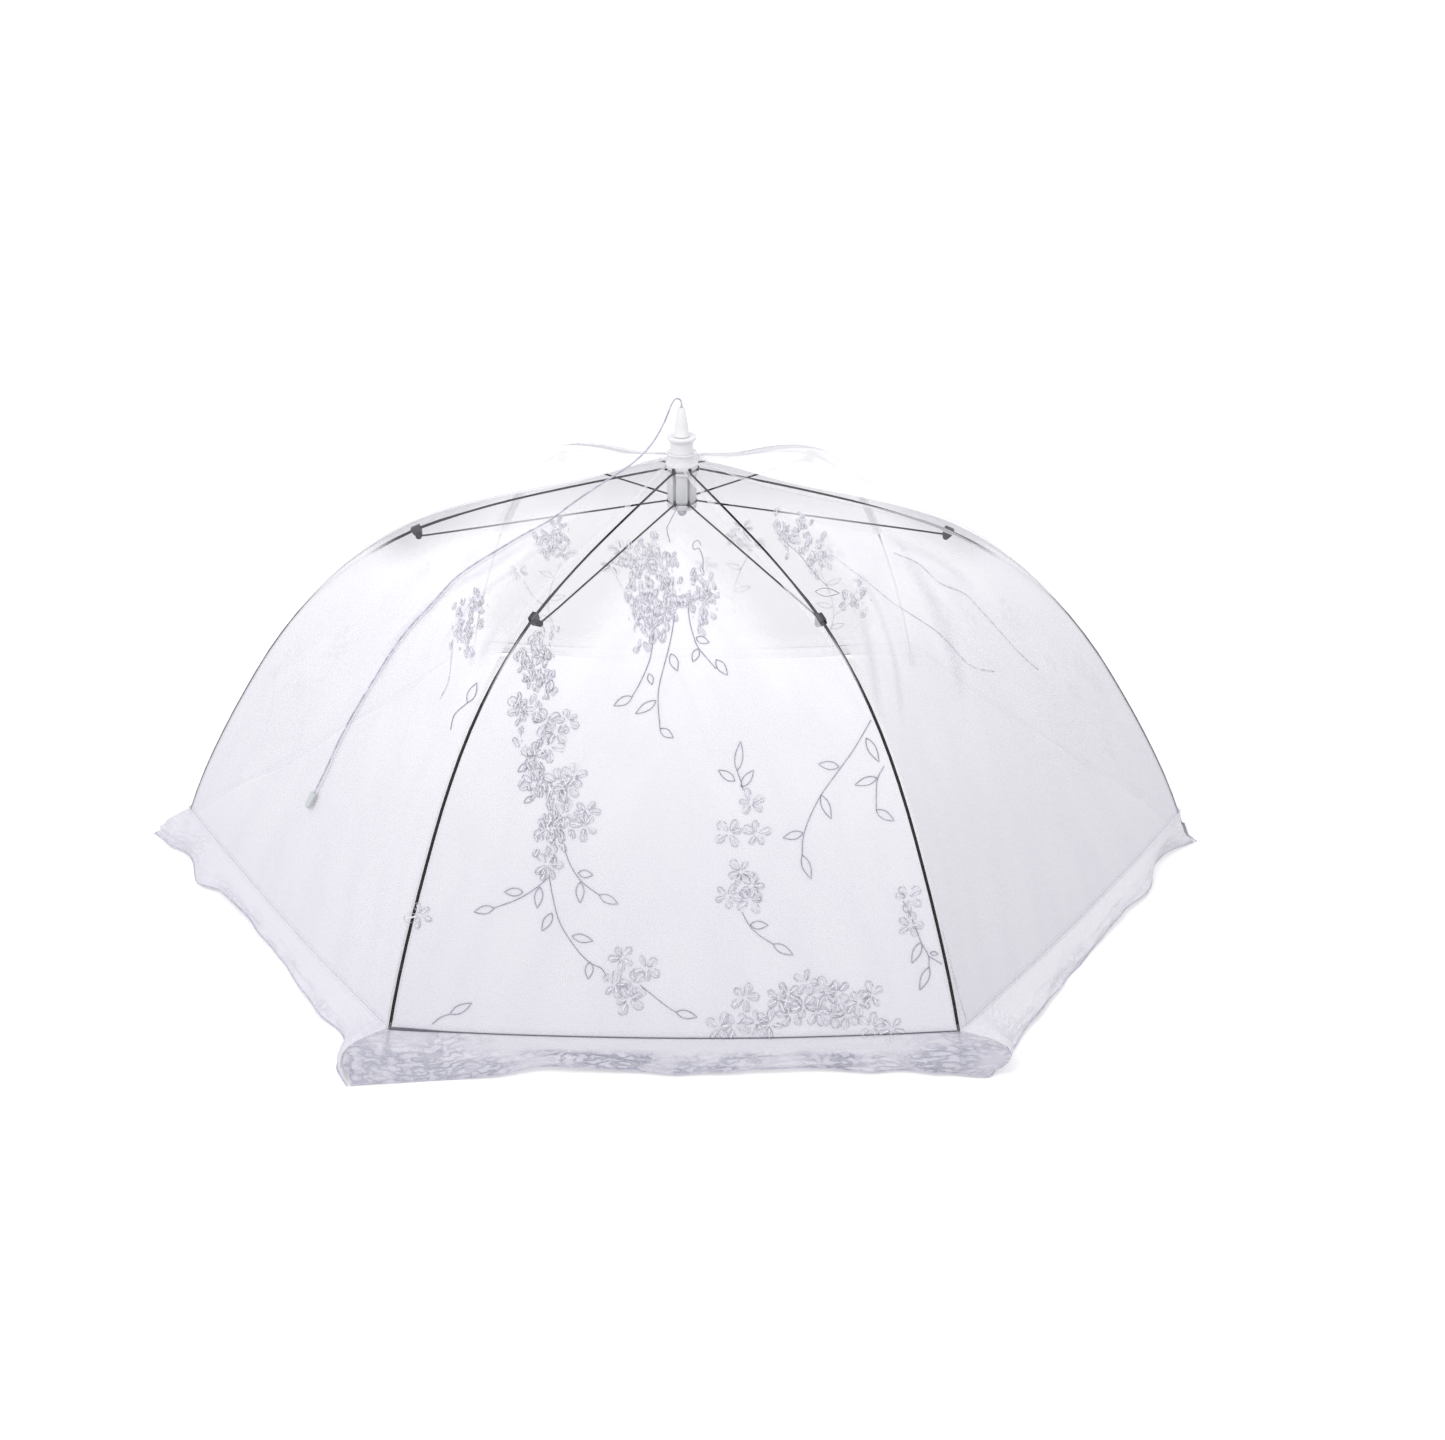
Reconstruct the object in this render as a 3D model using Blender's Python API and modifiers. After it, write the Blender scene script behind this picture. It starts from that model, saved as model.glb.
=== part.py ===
"""Pop-up food cover: a six-sided net dome on curved wire ribs, with a gathered lace edge.

Each rib hangs by an eye on a ring wire in the top hub, and a strut joins it to the runner
below. The pull cord runs from the runner up through the hub and out of the finial, so a pull
lifts the runner and springs the cover open. Metres, +Z up. The origin is on the table, under
the hub, and rib 1 points along +X.
"""

import math

import bmesh
import bpy
from mathutils import Matrix, Vector

# Overall size
SIDES = 6
TIP_RADIUS = 0.280  # centre to a rib's foot, which is also the length of a side
PIVOT_HEIGHT = 0.218
CLEARANCE = 0.0003
OVERRUN = 0.002

# Rib
RIB_PIVOT_RADIUS = 0.0075
RIB_WIRE_RADIUS = 0.0008
rib_thin_share = 0.75  # the wire's radius above its clip, against below it
rib_thin_end_share = 0.33
RIB_EYE_WALL = 0.0010
RIB_EYE_THICKNESS = 0.0016
RING_WIRE_RADIUS = 0.0005
rib_profile_shares = (
    (0.000, 1.000),
    (0.064, 0.984),
    (0.195, 0.949),
    (0.330, 0.908),
    (0.461, 0.856),
    (0.525, 0.820),
    (0.585, 0.777),
    (0.642, 0.728),
    (0.695, 0.670),
    (0.740, 0.609),
    (0.782, 0.540),
    (0.820, 0.468),
    (0.889, 0.319),
    (0.951, 0.162),
    (1.000, 0.000),
)

# Cap on a rib's foot
TIP_CAP_WALL = 0.0009
TIP_CAP_LENGTH = 0.0100
TIP_CAP_FLOOR = 0.0015

# Clip that carries a strut's outer end
clip_position_share = 0.37
CLIP_LENGTH = 0.0050
CLIP_SIDE_WALL = 0.0005
CLIP_TOP_WALL = 0.0006
CLIP_DROP = 0.0034
CLIP_TAB_RADIUS = 0.0017

# Strut
STRUT_WIRE_RADIUS = 0.0005
STRUT_INNER_EYE_WALL = 0.0008
STRUT_OUTER_EYE_WALL = 0.0008
STRUT_EYE_THICKNESS = 0.0012
STRUT_CRANK_START = 0.0085
STRUT_CRANK_LENGTH = 0.1100
RIVET_RADIUS = 0.0006
RIVET_HEAD_RADIUS = 0.0013
RIVET_HEAD_HEIGHT = 0.0006
RIVET_HEAD_ROUND = 0.0002

# Top hub
HUB_BORE_RADIUS = 0.0020
HUB_BODY_RADIUS = 0.0061
HUB_CROWN_RIM = 0.0011
HUB_CROWN_PLATE = 0.0011
HUB_CROWN_SKIRT = 0.0004
HUB_HEIGHT = 0.0199
HUB_LIP_OVERHANG = 0.0018
HUB_LIP_HEIGHT = 0.0010
HUB_LIP_FLARE = 0.0022
HUB_SOCKET_RADIUS = 0.0033
HUB_SOCKET_DEPTH = 0.0050

# Finial
FINIAL_BASE_RADIUS = 0.0044
FINIAL_TOP_RADIUS = 0.0018
FINIAL_HEIGHT = 0.0155
FINIAL_FOOT = 0.0012

# Runner
RUNNER_PIVOT_RADIUS = 0.0065
RUNNER_RIM = 0.0013
RUNNER_BORE_RADIUS = 0.0014
RUNNER_ABOVE_PIVOT = 0.0155
RUNNER_FLOOR = 0.0014

# Canopy
FABRIC_THICKNESS = 0.0005
CANOPY_CROWN_RISE = 0.0008
CANOPY_CLIP_LIFT = 0.0030
CANOPY_DISH = 0.0040
hub_lift_reach_share = 0.16
clip_lift_reach_share = 0.24
COLLAR_REACH = 0.0049
COLLAR_NECK_THICKNESS = 0.0006
COLLAR_NECK_HEIGHT = 0.0035
COLLAR_SKIRT_HEIGHT = 0.0010
COLLAR_SHOULDER = 0.0012
TIE_RADIUS = 0.0004

# Hem and lace edge
HEM_HEIGHT = 0.0175
HEM_SAG = 0.0040
HEM_TAPE_WIDTH = 0.0030
LACE_RADIUS = 0.2925
LACE_HOLLOW = 0.0050
LACE_FOLDS = 6
LACE_FOLD_DEPTH = 0.0032
LACE_BULGE = 0.0020

# Pull cord, its knot and its tab
CORD_RADIUS = 0.0006
KNOT_RADIUS = 0.0026
TAB_LENGTH = 0.0090
TAB_WIDTH = 0.0052
TAB_THICKNESS = 0.0020
TAB_ROUND = 0.0008
CORD_ROUTE = (
    (0.0000, 0.0000, 0.2518),
    (0.0000, 0.0000, 0.2538),
    (-0.0006, -0.0003, 0.2556),
    (-0.0021, -0.0012, 0.2567),
    (-0.0039, -0.0022, 0.2560),
    (-0.0051, -0.0029, 0.2540),
    (-0.0064, -0.0037, 0.2510),
    (-0.0087, -0.0050, 0.2455),
    (-0.0130, -0.0075, 0.2378),
    (-0.0192, -0.0111, 0.2305),
    (-0.0277, -0.0160, 0.2244),
    (-0.0372, -0.0215, 0.2197),
    (-0.0463, -0.0271, 0.2153),
    (-0.0568, -0.0336, 0.2098),
    (-0.0678, -0.0413, 0.2038),
    (-0.0811, -0.0494, 0.1988),
    (-0.0929, -0.0574, 0.1940),
    (-0.1040, -0.0625, 0.1886),
    (-0.1152, -0.0665, 0.1813),
    (-0.1272, -0.0744, 0.1701),
    (-0.1389, -0.0791, 0.1583),
    (-0.1476, -0.0829, 0.1473),
    (-0.1550, -0.0871, 0.1363),
    (-0.1624, -0.0900, 0.1248),
    (-0.1692, -0.0925, 0.1136),
    (-0.1759, -0.0949, 0.1012),
    (-0.1822, -0.0983, 0.0881),
    (-0.1885, -0.1003, 0.0761),
)

# Facets
TURNED_STEPS = 20
SMALL_TURNED_STEPS = 10
KNOT_ROWS = 6
SHARP_ANGLE = math.radians(35)
RIB_POINTS = 28
CORD_POINTS = 64
EYE_SIDES = 11
WIRE_RESOLUTION = 2
RING_SECTION_SIDES = 6
PANEL_COLUMNS = 4
PANEL_ROWS = 12
LACE_POINTS_PER_FOLD = 6
LACE_ROW_COUNT = 2
TAPE_COLUMNS = 8
SPLINE_STEPS = 10
MERGE_DISTANCE = 0.00001
lean_step_share = 0.01

SIDE_ANGLE = math.tau / SIDES
HALF_SIDE = SIDE_ANGLE / 2
RING_BORE = RING_WIRE_RADIUS + CLEARANCE
RIB_BORE = RIB_WIRE_RADIUS + CLEARANCE
RIB_EYE_RADIUS = RING_BORE + RIB_EYE_WALL
TIP_CAP_RADIUS = RIB_BORE + TIP_CAP_WALL
CLIP_WIDTH = 2 * (RIB_BORE + CLIP_SIDE_WALL)
CLIP_GRIP = RIB_BORE + CLIP_TOP_WALL
STRUT_INNER_EYE_RADIUS = RING_BORE + STRUT_INNER_EYE_WALL
STRUT_OUTER_EYE_RADIUS = RIVET_RADIUS + CLEARANCE + STRUT_OUTER_EYE_WALL
STRUT_OFFSET = CLIP_WIDTH / 2 + CLEARANCE + STRUT_EYE_THICKNESS / 2
HUB_BOTTOM = PIVOT_HEIGHT - RIB_EYE_RADIUS - HUB_CROWN_SKIRT
HUB_TOP = HUB_BOTTOM + HUB_HEIGHT
HUB_SLOT_TOP = PIVOT_HEIGHT + RIB_EYE_RADIUS + CLEARANCE
HUB_CROWN_TOP = HUB_SLOT_TOP + HUB_CROWN_PLATE
HUB_CROWN_RADIUS = RIB_PIVOT_RADIUS + HUB_CROWN_RIM
FINIAL_TOP = HUB_TOP + CLEARANCE + FINIAL_HEIGHT
RUNNER_TOP = HUB_BOTTOM - CLEARANCE
RUNNER_PIVOT_HEIGHT = RUNNER_TOP - RUNNER_ABOVE_PIVOT
RUNNER_SLOT_BOTTOM = RUNNER_PIVOT_HEIGHT - STRUT_INNER_EYE_RADIUS - CLEARANCE
RUNNER_BOTTOM = RUNNER_SLOT_BOTTOM - RUNNER_FLOOR
RUNNER_RADIUS = RUNNER_PIVOT_RADIUS + RUNNER_RIM

GRAPHITE = ("graphite wire", (0.09, 0.085, 0.10), 0.38, 0.85)
STEEL = ("ring wire steel", (0.55, 0.55, 0.57), 0.30, 1.00)
DARK_PLASTIC = ("dark cap plastic", (0.16, 0.15, 0.18), 0.50, 0.0)
WHITE_PLASTIC = ("white hub plastic", (0.90, 0.90, 0.91), 0.35, 0.0)
CLEAR_PLASTIC = ("milky runner plastic", (0.80, 0.83, 0.82), 0.30, 0.0)
NET = ("canopy net", (0.86, 0.86, 0.91), 0.80, 0.0)
LACE = ("lace edge", (0.80, 0.80, 0.87), 0.85, 0.0)
TAPE = ("hem tape", (0.70, 0.70, 0.77), 0.80, 0.0)
CORD = ("pull cord", (0.78, 0.78, 0.82), 0.75, 0.0)
TAB = ("pull tab", (0.72, 0.76, 0.74), 0.45, 0.0)


class Path:
    """A smooth curve through points, read by its share of length."""

    def __init__(self, points):
        given = [Vector(point) for point in points]
        padded = [2 * given[0] - given[1], *given, 2 * given[-1] - given[-2]]
        self.points = [given[0]]
        for a, b, c, d in zip(padded, padded[1:], padded[2:], padded[3:]):
            for step in range(1, SPLINE_STEPS + 1):
                self.points.append(spline_point(a, b, c, d, step / SPLINE_STEPS))
        self.lengths = [0]
        for a, b in zip(self.points, self.points[1:]):
            self.lengths.append(self.lengths[-1] + (b - a).length)
        self.length = self.lengths[-1]

    def span(self, share):
        wanted = share * self.length
        for i in range(1, len(self.lengths)):
            if self.lengths[i] >= wanted or i == len(self.lengths) - 1:
                part = (wanted - self.lengths[i - 1]) / (self.lengths[i] - self.lengths[i - 1])
                return i, part

    def at(self, share):
        i, part = self.span(share)
        return self.points[i - 1].lerp(self.points[i], part)

    def direction(self, share):
        i, part = self.span(share)
        before = self.points[max(i - 2, 0)]
        after = self.points[min(i + 1, len(self.points) - 1)]
        return (after - before).normalized()

    def share_at_height(self, height):
        """Where a path that only falls comes down to a height."""
        for i in range(1, len(self.points)):
            if self.points[i].z <= height:
                drop = self.points[i - 1].z - self.points[i].z
                part = (self.points[i - 1].z - height) / drop
                gone = self.lengths[i - 1] + part * (self.lengths[i] - self.lengths[i - 1])
                return gone / self.length
        return 1


def spline_point(a, b, c, d, t):
    """A Catmull-Rom span from b to c."""
    cubic = (3 * b - a - 3 * c + d) * t**3
    square = (2 * a - 5 * b + 4 * c - d) * t**2
    return (2 * b + (c - a) * t + square + cubic) / 2


def rib_path():
    """The rib's centre line in its own upright plane, from its pivot to its foot."""
    reach = TIP_RADIUS - RIB_PIVOT_RADIUS
    return Path(
        (RIB_PIVOT_RADIUS + out * reach, 0, up * PIVOT_HEIGHT) for out, up in rib_profile_shares
    )


RIB = rib_path()
HEM_SHARE = RIB.share_at_height(HEM_HEIGHT)


def outward_normal(direction):
    """Square to a direction in the upright plane, on the outer side of the dome."""
    return Vector((-direction.z, 0, direction.x))


def clip_frame():
    """Where the clip sits on its rib: X along the wire, Z out of the dome."""
    tangent = RIB.direction(clip_position_share)
    normal = outward_normal(tangent)
    turn = Matrix((tangent, normal.cross(tangent), normal)).transposed().to_4x4()
    return Matrix.Translation(RIB.at(clip_position_share)) @ turn


CLIP_FRAME = clip_frame()
RIB_PIVOT = Vector((RIB_PIVOT_RADIUS, 0, PIVOT_HEIGHT))
CLIP_PIVOT = CLIP_FRAME @ Vector((0, 0, -CLIP_DROP))
STRUT_PIVOT = Vector((RUNNER_PIVOT_RADIUS, 0, RUNNER_PIVOT_HEIGHT))


def new_collection(name):
    collection = bpy.data.collections.new(name)
    bpy.context.scene.collection.children.link(collection)
    return collection


def clear_scene():
    for obj in list(bpy.data.objects):
        bpy.data.objects.remove(obj, do_unlink=True)


def finish_of(settings):
    """The material of that name, made the first time it is asked for."""
    name, colour, roughness, metallic = settings
    material = bpy.data.materials.get(name) or bpy.data.materials.new(name)
    material.use_nodes = True
    shader = material.node_tree.nodes["Principled BSDF"]
    shader.inputs["Base Color"].default_value = (*colour, 1)
    shader.inputs["Roughness"].default_value = roughness
    shader.inputs["Metallic"].default_value = metallic
    return material


def link(name, data, collection):
    obj = bpy.data.objects.new(name, data)
    collection.objects.link(obj)
    return obj


def anchor(name, modelled_at, turn=0, parent=None):
    """An empty on a joint's axis, turned to its rib. Its pieces are modelled unturned."""
    empty = link(name, None, PARTS)
    above = Vector(parent["modelled_at"]) if parent else Vector()
    empty.location = Matrix.Rotation(turn, 3, "Z") @ Vector(modelled_at) - above
    empty.rotation_euler.z = turn
    empty.parent = parent
    empty["modelled_at"] = modelled_at
    return empty


def mesh_from(bm, name):
    """A mesh of the shape, with its faces pointing out."""
    bmesh.ops.recalc_face_normals(bm, faces=bm.faces)
    if bm.calc_volume(signed=True) < 0:
        bmesh.ops.reverse_faces(bm, faces=bm.faces)
    mesh = bpy.data.meshes.new(name)
    bm.to_mesh(mesh)
    bm.free()
    return mesh


def evaluated_mesh(obj, name):
    """The object's shape with its modifiers applied, in world space, and its caps welded."""
    bpy.context.view_layer.update()
    shape = obj.evaluated_get(bpy.context.evaluated_depsgraph_get())
    mesh = bpy.data.meshes.new_from_object(shape)
    mesh.transform(obj.matrix_world)
    bm = bmesh.new()
    bm.from_mesh(mesh)
    bmesh.ops.remove_doubles(bm, verts=bm.verts, dist=MERGE_DISTANCE)
    bpy.data.meshes.remove(mesh)
    bpy.data.objects.remove(obj, do_unlink=True)
    return mesh_from(bm, name)


def combined(name, base, tools):
    """The base mesh after each (operation, mesh) in tools."""
    body = link(name, base, CUTTERS)
    helpers = []
    for operation, mesh in tools:
        helper = link(name + "_tool", mesh, CUTTERS)
        helper.hide_render = True
        helper.display_type = "WIRE"
        boolean = body.modifiers.new(operation.title(), "BOOLEAN")
        boolean.operation = operation
        boolean.object = helper
        helpers.append(helper)
    mesh = evaluated_mesh(body, name)
    for helper in helpers:
        bpy.data.objects.remove(helper, do_unlink=True)
    return mesh


def turned(name, profile, steps=TURNED_STEPS, closed=True):
    """A profile of (radius, height), outer side first and downwards, turned about Z."""
    mesh = bpy.data.meshes.new(name)
    points = [(radius, 0, height) for radius, height in profile]
    edges = [(i, i + 1) for i in range(len(points) - 1)]
    if closed:
        edges.append((len(points) - 1, 0))
    mesh.from_pydata(points, edges, [])
    obj = link(name, mesh, CUTTERS)
    screw = obj.modifiers.new("Turn", "SCREW")
    screw.steps = steps
    screw.render_steps = steps
    screw.use_merge_vertices = True
    screw.merge_threshold = MERGE_DISTANCE
    return evaluated_mesh(obj, name)


def wire(name, points, radius, radius_shares=()):
    """A round wire along points, with flat ends. It may be thinner at some of its points."""
    curve = bpy.data.curves.new(name, "CURVE")
    curve.dimensions = "3D"
    curve.bevel_depth = radius
    curve.bevel_resolution = WIRE_RESOLUTION
    curve.use_fill_caps = True
    spline = curve.splines.new("POLY")
    spline.points.add(len(points) - 1)
    for point, place in zip(spline.points, points):
        point.co = (*place, 1)
    for point, share in zip(spline.points, radius_shares):
        point.radius = share
    return evaluated_mesh(link(name, curve, CUTTERS), name)


def plate(name, outline, thickness, frame):
    """A flat outline in the frame's XZ plane, as thick as given along its Y."""
    curve = bpy.data.curves.new(name, "CURVE")
    curve.dimensions = "2D"
    curve.fill_mode = "BOTH"
    curve.extrude = thickness / 2
    spline = curve.splines.new("POLY")
    spline.points.add(len(outline) - 1)
    for point, (x, y) in zip(spline.points, outline):
        point.co = (x, y, 0, 1)
    spline.use_cyclic_u = True
    obj = link(name, curve, CUTTERS)
    obj.matrix_world = frame @ Matrix.Rotation(math.pi / 2, 4, "X")
    return evaluated_mesh(obj, name)


def rod(radius, start, end, sides=EYE_SIDES):
    """A plain round rod between two points."""
    line = end - start
    bm = bmesh.new()
    bmesh.ops.create_cone(
        bm, cap_ends=True, segments=sides, radius1=radius, radius2=radius, depth=line.length
    )
    turn = line.to_track_quat("Z", "Y").to_matrix().to_4x4()
    bm.transform(Matrix.Translation((start + end) / 2) @ turn)
    return mesh_from(bm, "rod")


def block(low, high, turn=0):
    """A box from its low corner to its high one, turned about Z."""
    low, high = Vector(low), Vector(high)
    bm = bmesh.new()
    bmesh.ops.create_cube(bm, size=1)
    size = high - low
    bm.transform(Matrix.Rotation(turn, 4, "Z") @ Matrix.Translation((low + high) / 2)
                 @ Matrix.Diagonal((*size, 1)))
    return mesh_from(bm, "block")


def ring(name, radius, section_radius, height):
    """A round wire bent into a closed ring about Z."""
    bpy.ops.mesh.primitive_torus_add(
        major_segments=TURNED_STEPS,
        minor_segments=RING_SECTION_SIDES,
        major_radius=radius,
        minor_radius=section_radius,
        location=(0, 0, height),
    )
    obj = bpy.context.active_object
    return evaluated_mesh(obj, name)


def cross_rod(radius, centre, width):
    """A rod along Y, centred on a point."""
    half = Vector((0, width / 2, 0))
    return rod(radius, centre - half, centre + half)


def sheet(name, columns, rows, place):
    """A thin shell over place(u, v), where u runs -1 to 1 along the side and v 0 to 1 down it."""
    bm = bmesh.new()
    bmesh.ops.create_grid(bm, x_segments=columns, y_segments=rows, size=1)
    for vert in bm.verts:
        vert.co = place(vert.co.x, (1 + vert.co.y) / 2)
    obj = link(name, mesh_from(bm, name), CUTTERS)
    shell = obj.modifiers.new("Thickness", "SOLIDIFY")
    shell.thickness = FABRIC_THICKNESS
    shell.offset = 0
    shell.use_even_offset = True
    return evaluated_mesh(obj, name)


def bump(value, centre, reach):
    """One at the centre and nothing past the reach, with a smooth rise between."""
    distance = min(abs(value - centre) / reach, 1)
    return (1 + math.cos(math.pi * distance)) / 2


def add_part(name, mesh, settings, parent, turn=0):
    """The finished piece, modelled in its rib's upright plane, or in its side's for a turn."""
    obj = link(name, mesh, PARTS)
    if not mesh.materials:
        mesh.materials.append(finish_of(settings))
    mesh.shade_smooth()
    mesh.set_sharp_from_angle(angle=SHARP_ANGLE)
    obj.parent = parent
    obj.rotation_euler.z = turn
    obj.location = -Vector(parent["modelled_at"])


def canopy_line(share):
    """The fabric's middle over a rib, in the rib's plane: higher over the hub and the clip."""
    half_fabric = FABRIC_THICKNESS / 2
    over_wire = RIB_BORE / math.cos(HALF_SIDE) + half_fabric
    over_crown = HUB_CROWN_TOP - PIVOT_HEIGHT + CLEARANCE + half_fabric + CANOPY_CROWN_RISE
    lift = over_wire
    lift += (over_crown - over_wire) * bump(share, 0, hub_lift_reach_share)
    lift += CANOPY_CLIP_LIFT * bump(share, clip_position_share, clip_lift_reach_share)
    return RIB.at(share) + lift * outward_normal(RIB.direction(share))


def across_side(over_rib, along):
    """A point of a side's flat chord, at along of its half length from the middle."""
    inset = CLEARANCE / math.cos(HALF_SIDE)
    half = over_rib.x * math.sin(HALF_SIDE) - inset
    return Vector((over_rib.x * math.cos(HALF_SIDE), along * half, over_rib.z))


def panel_point(along, share):
    """The canopy's middle surface: ruled between two ribs, a little hollow and sagging."""
    point = across_side(canopy_line(share), along)
    middle = 1 - along**2
    point.x -= CANOPY_DISH * math.sin(math.pi * share) * middle
    point.z -= HEM_SAG * (share / HEM_SHARE) ** 3 * middle
    return point


def panel_lean(along, share):
    """The canopy's direction down its slope."""
    above = panel_point(along, share - lean_step_share)
    return (panel_point(along, share) - above).normalized()


def lace_point(along, down):
    """The gathered edge: from the hem, out and down to the table in waves."""
    top = panel_point(along, HEM_SHARE) + CLEARANCE * panel_lean(along, HEM_SHARE)
    foot = across_side(Vector((LACE_RADIUS, 0, CLEARANCE + FABRIC_THICKNESS)), along)
    foot.x -= LACE_HOLLOW * (1 - along**2)
    wave = math.sin(math.tau * LACE_FOLDS * (along + 1) / 2)
    push = LACE_BULGE * math.sin(math.pi * down) + LACE_FOLD_DEPTH * wave * down
    out = Vector((math.cos(HALF_SIDE), along * math.sin(HALF_SIDE), 0))
    return top.lerp(foot, down) + push * out


def tape_point(along, down):
    """The hem tape: sewn outside the canopy's edge, down to its end."""
    lean = panel_lean(along, HEM_SHARE)
    out = lean.cross(Vector((0, 1, 0))).normalized()
    stand_off = FABRIC_THICKNESS + CLEARANCE
    return panel_point(along, HEM_SHARE) + out * stand_off - lean * HEM_TAPE_WIDTH * (1 - down)


def rib_mesh():
    """The sprung wire, thinner above its clip, with a flat eye for the ring wire."""
    start = RIB_EYE_RADIUS * 2 / 3 / RIB.length
    foot = TIP_CAP_FLOOR + CLEARANCE + RIB_WIRE_RADIUS / 2
    end = RIB.share_at_height(foot)
    shares = [start + (end - start) * i / (RIB_POINTS - 1) for i in range(RIB_POINTS)]
    thinned = [rib_thin_share if share < rib_thin_end_share else 1 for share in shares]
    body = wire("rib", [RIB.at(share) for share in shares], RIB_WIRE_RADIUS, thinned)
    eye = cross_rod(RIB_EYE_RADIUS, RIB_PIVOT, RIB_EYE_THICKNESS)
    hole = cross_rod(RING_BORE, RIB_PIVOT, RIB_EYE_THICKNESS + OVERRUN)
    return combined("rib", body, [("UNION", eye), ("DIFFERENCE", hole)])


def tip_mesh():
    """The cap on the rib's foot: along the wire, and cut flat to stand on the table."""
    end = RIB.at(1)
    lean = RIB.direction(1)
    cap = rod(TIP_CAP_RADIUS, end - TIP_CAP_LENGTH * lean, end + TIP_CAP_RADIUS * 2 * lean)
    below = block(
        (end.x - TIP_CAP_LENGTH, -TIP_CAP_LENGTH, -TIP_CAP_LENGTH),
        (end.x + TIP_CAP_LENGTH, TIP_CAP_LENGTH, 0),
    )
    floor = RIB.at(RIB.share_at_height(TIP_CAP_FLOOR))
    bore = rod(RIB_BORE, end - (TIP_CAP_LENGTH + OVERRUN) * lean, floor)
    return combined("rib_tip", cap, [("DIFFERENCE", below), ("DIFFERENCE", bore)])


def clip_mesh():
    """The clip: a grip round the wire over a round tab at the strut's pivot."""
    half = CLIP_LENGTH / 2
    outline = [(half, -CLIP_GRIP), (half, CLIP_GRIP), (-half, CLIP_GRIP), (-half, -CLIP_GRIP)]
    for step in range(EYE_SIDES // 2 + 1):
        angle = math.pi + math.pi * step / (EYE_SIDES // 2)
        outline.append(
            (CLIP_TAB_RADIUS * math.cos(angle), CLIP_TAB_RADIUS * math.sin(angle) - CLIP_DROP)
        )
    body = plate("rib_clip", outline, CLIP_WIDTH, CLIP_FRAME)
    reach = Vector((half + OVERRUN, 0, 0))
    bore = rod(RIB_BORE, CLIP_FRAME @ -reach, CLIP_FRAME @ reach)
    return combined("rib_clip", body, [("DIFFERENCE", bore)])


def strut_line():
    """The strut's points: out of the runner in the rib's plane, and slowly to the clip's side."""
    line = CLIP_PIVOT - STRUT_PIVOT
    lean = line.normalized()
    aside = Vector((0, STRUT_OFFSET, 0))
    stops = (
        (STRUT_INNER_EYE_RADIUS * 2 / 3, 0),
        (STRUT_CRANK_START, 0),
        (STRUT_CRANK_START + STRUT_CRANK_LENGTH / 2, 1 / 2),
        (STRUT_CRANK_START + STRUT_CRANK_LENGTH, 1),
        (line.length - STRUT_OUTER_EYE_RADIUS * 2 / 3, 1),
    )
    return [STRUT_PIVOT + lean * run + aside * shift for run, shift in stops]


def strut_mesh():
    """The strut wire, with an eye on the runner's ring wire and one for its rivet."""
    outer = CLIP_PIVOT + Vector((0, STRUT_OFFSET, 0))
    body = cross_rod(STRUT_OUTER_EYE_RADIUS, outer, STRUT_EYE_THICKNESS)
    through = STRUT_EYE_THICKNESS + OVERRUN
    tools = (
        ("UNION", wire("strut", strut_line(), STRUT_WIRE_RADIUS)),
        ("UNION", cross_rod(STRUT_INNER_EYE_RADIUS, STRUT_PIVOT, STRUT_EYE_THICKNESS)),
        ("DIFFERENCE", cross_rod(RING_BORE, STRUT_PIVOT, through)),
        ("DIFFERENCE", cross_rod(RIVET_RADIUS + CLEARANCE, outer, through)),
    )
    return combined("strut", body, tools)


def rivet_mesh():
    """The rivet in the strut's outer eye. Its shank ends level with the eye's inner face."""
    inner = STRUT_OFFSET - STRUT_EYE_THICKNESS / 2
    seat = STRUT_OFFSET + STRUT_EYE_THICKNESS / 2 + CLEARANCE
    top = seat + RIVET_HEAD_HEIGHT
    profile = (
        (0, top),
        (RIVET_HEAD_RADIUS - RIVET_HEAD_ROUND, top),
        (RIVET_HEAD_RADIUS, top - RIVET_HEAD_ROUND),
        (RIVET_HEAD_RADIUS, seat),
        (RIVET_RADIUS, seat),
        (RIVET_RADIUS, inner),
        (0, inner),
    )
    mesh = turned("strut_rivet", profile, SMALL_TURNED_STEPS, closed=False)
    place = Matrix.Translation((CLIP_PIVOT.x, 0, CLIP_PIVOT.z))
    mesh.transform(place @ Matrix.Rotation(-math.pi / 2, 4, "X"))
    return mesh


def slots(width, inner, outer, low, high):
    """One radial slot cutter for each rib."""
    return [
        ("DIFFERENCE", block((inner, -width / 2, low), (outer, width / 2, high), i * SIDE_ANGLE))
        for i in range(SIDES)
    ]


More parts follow.
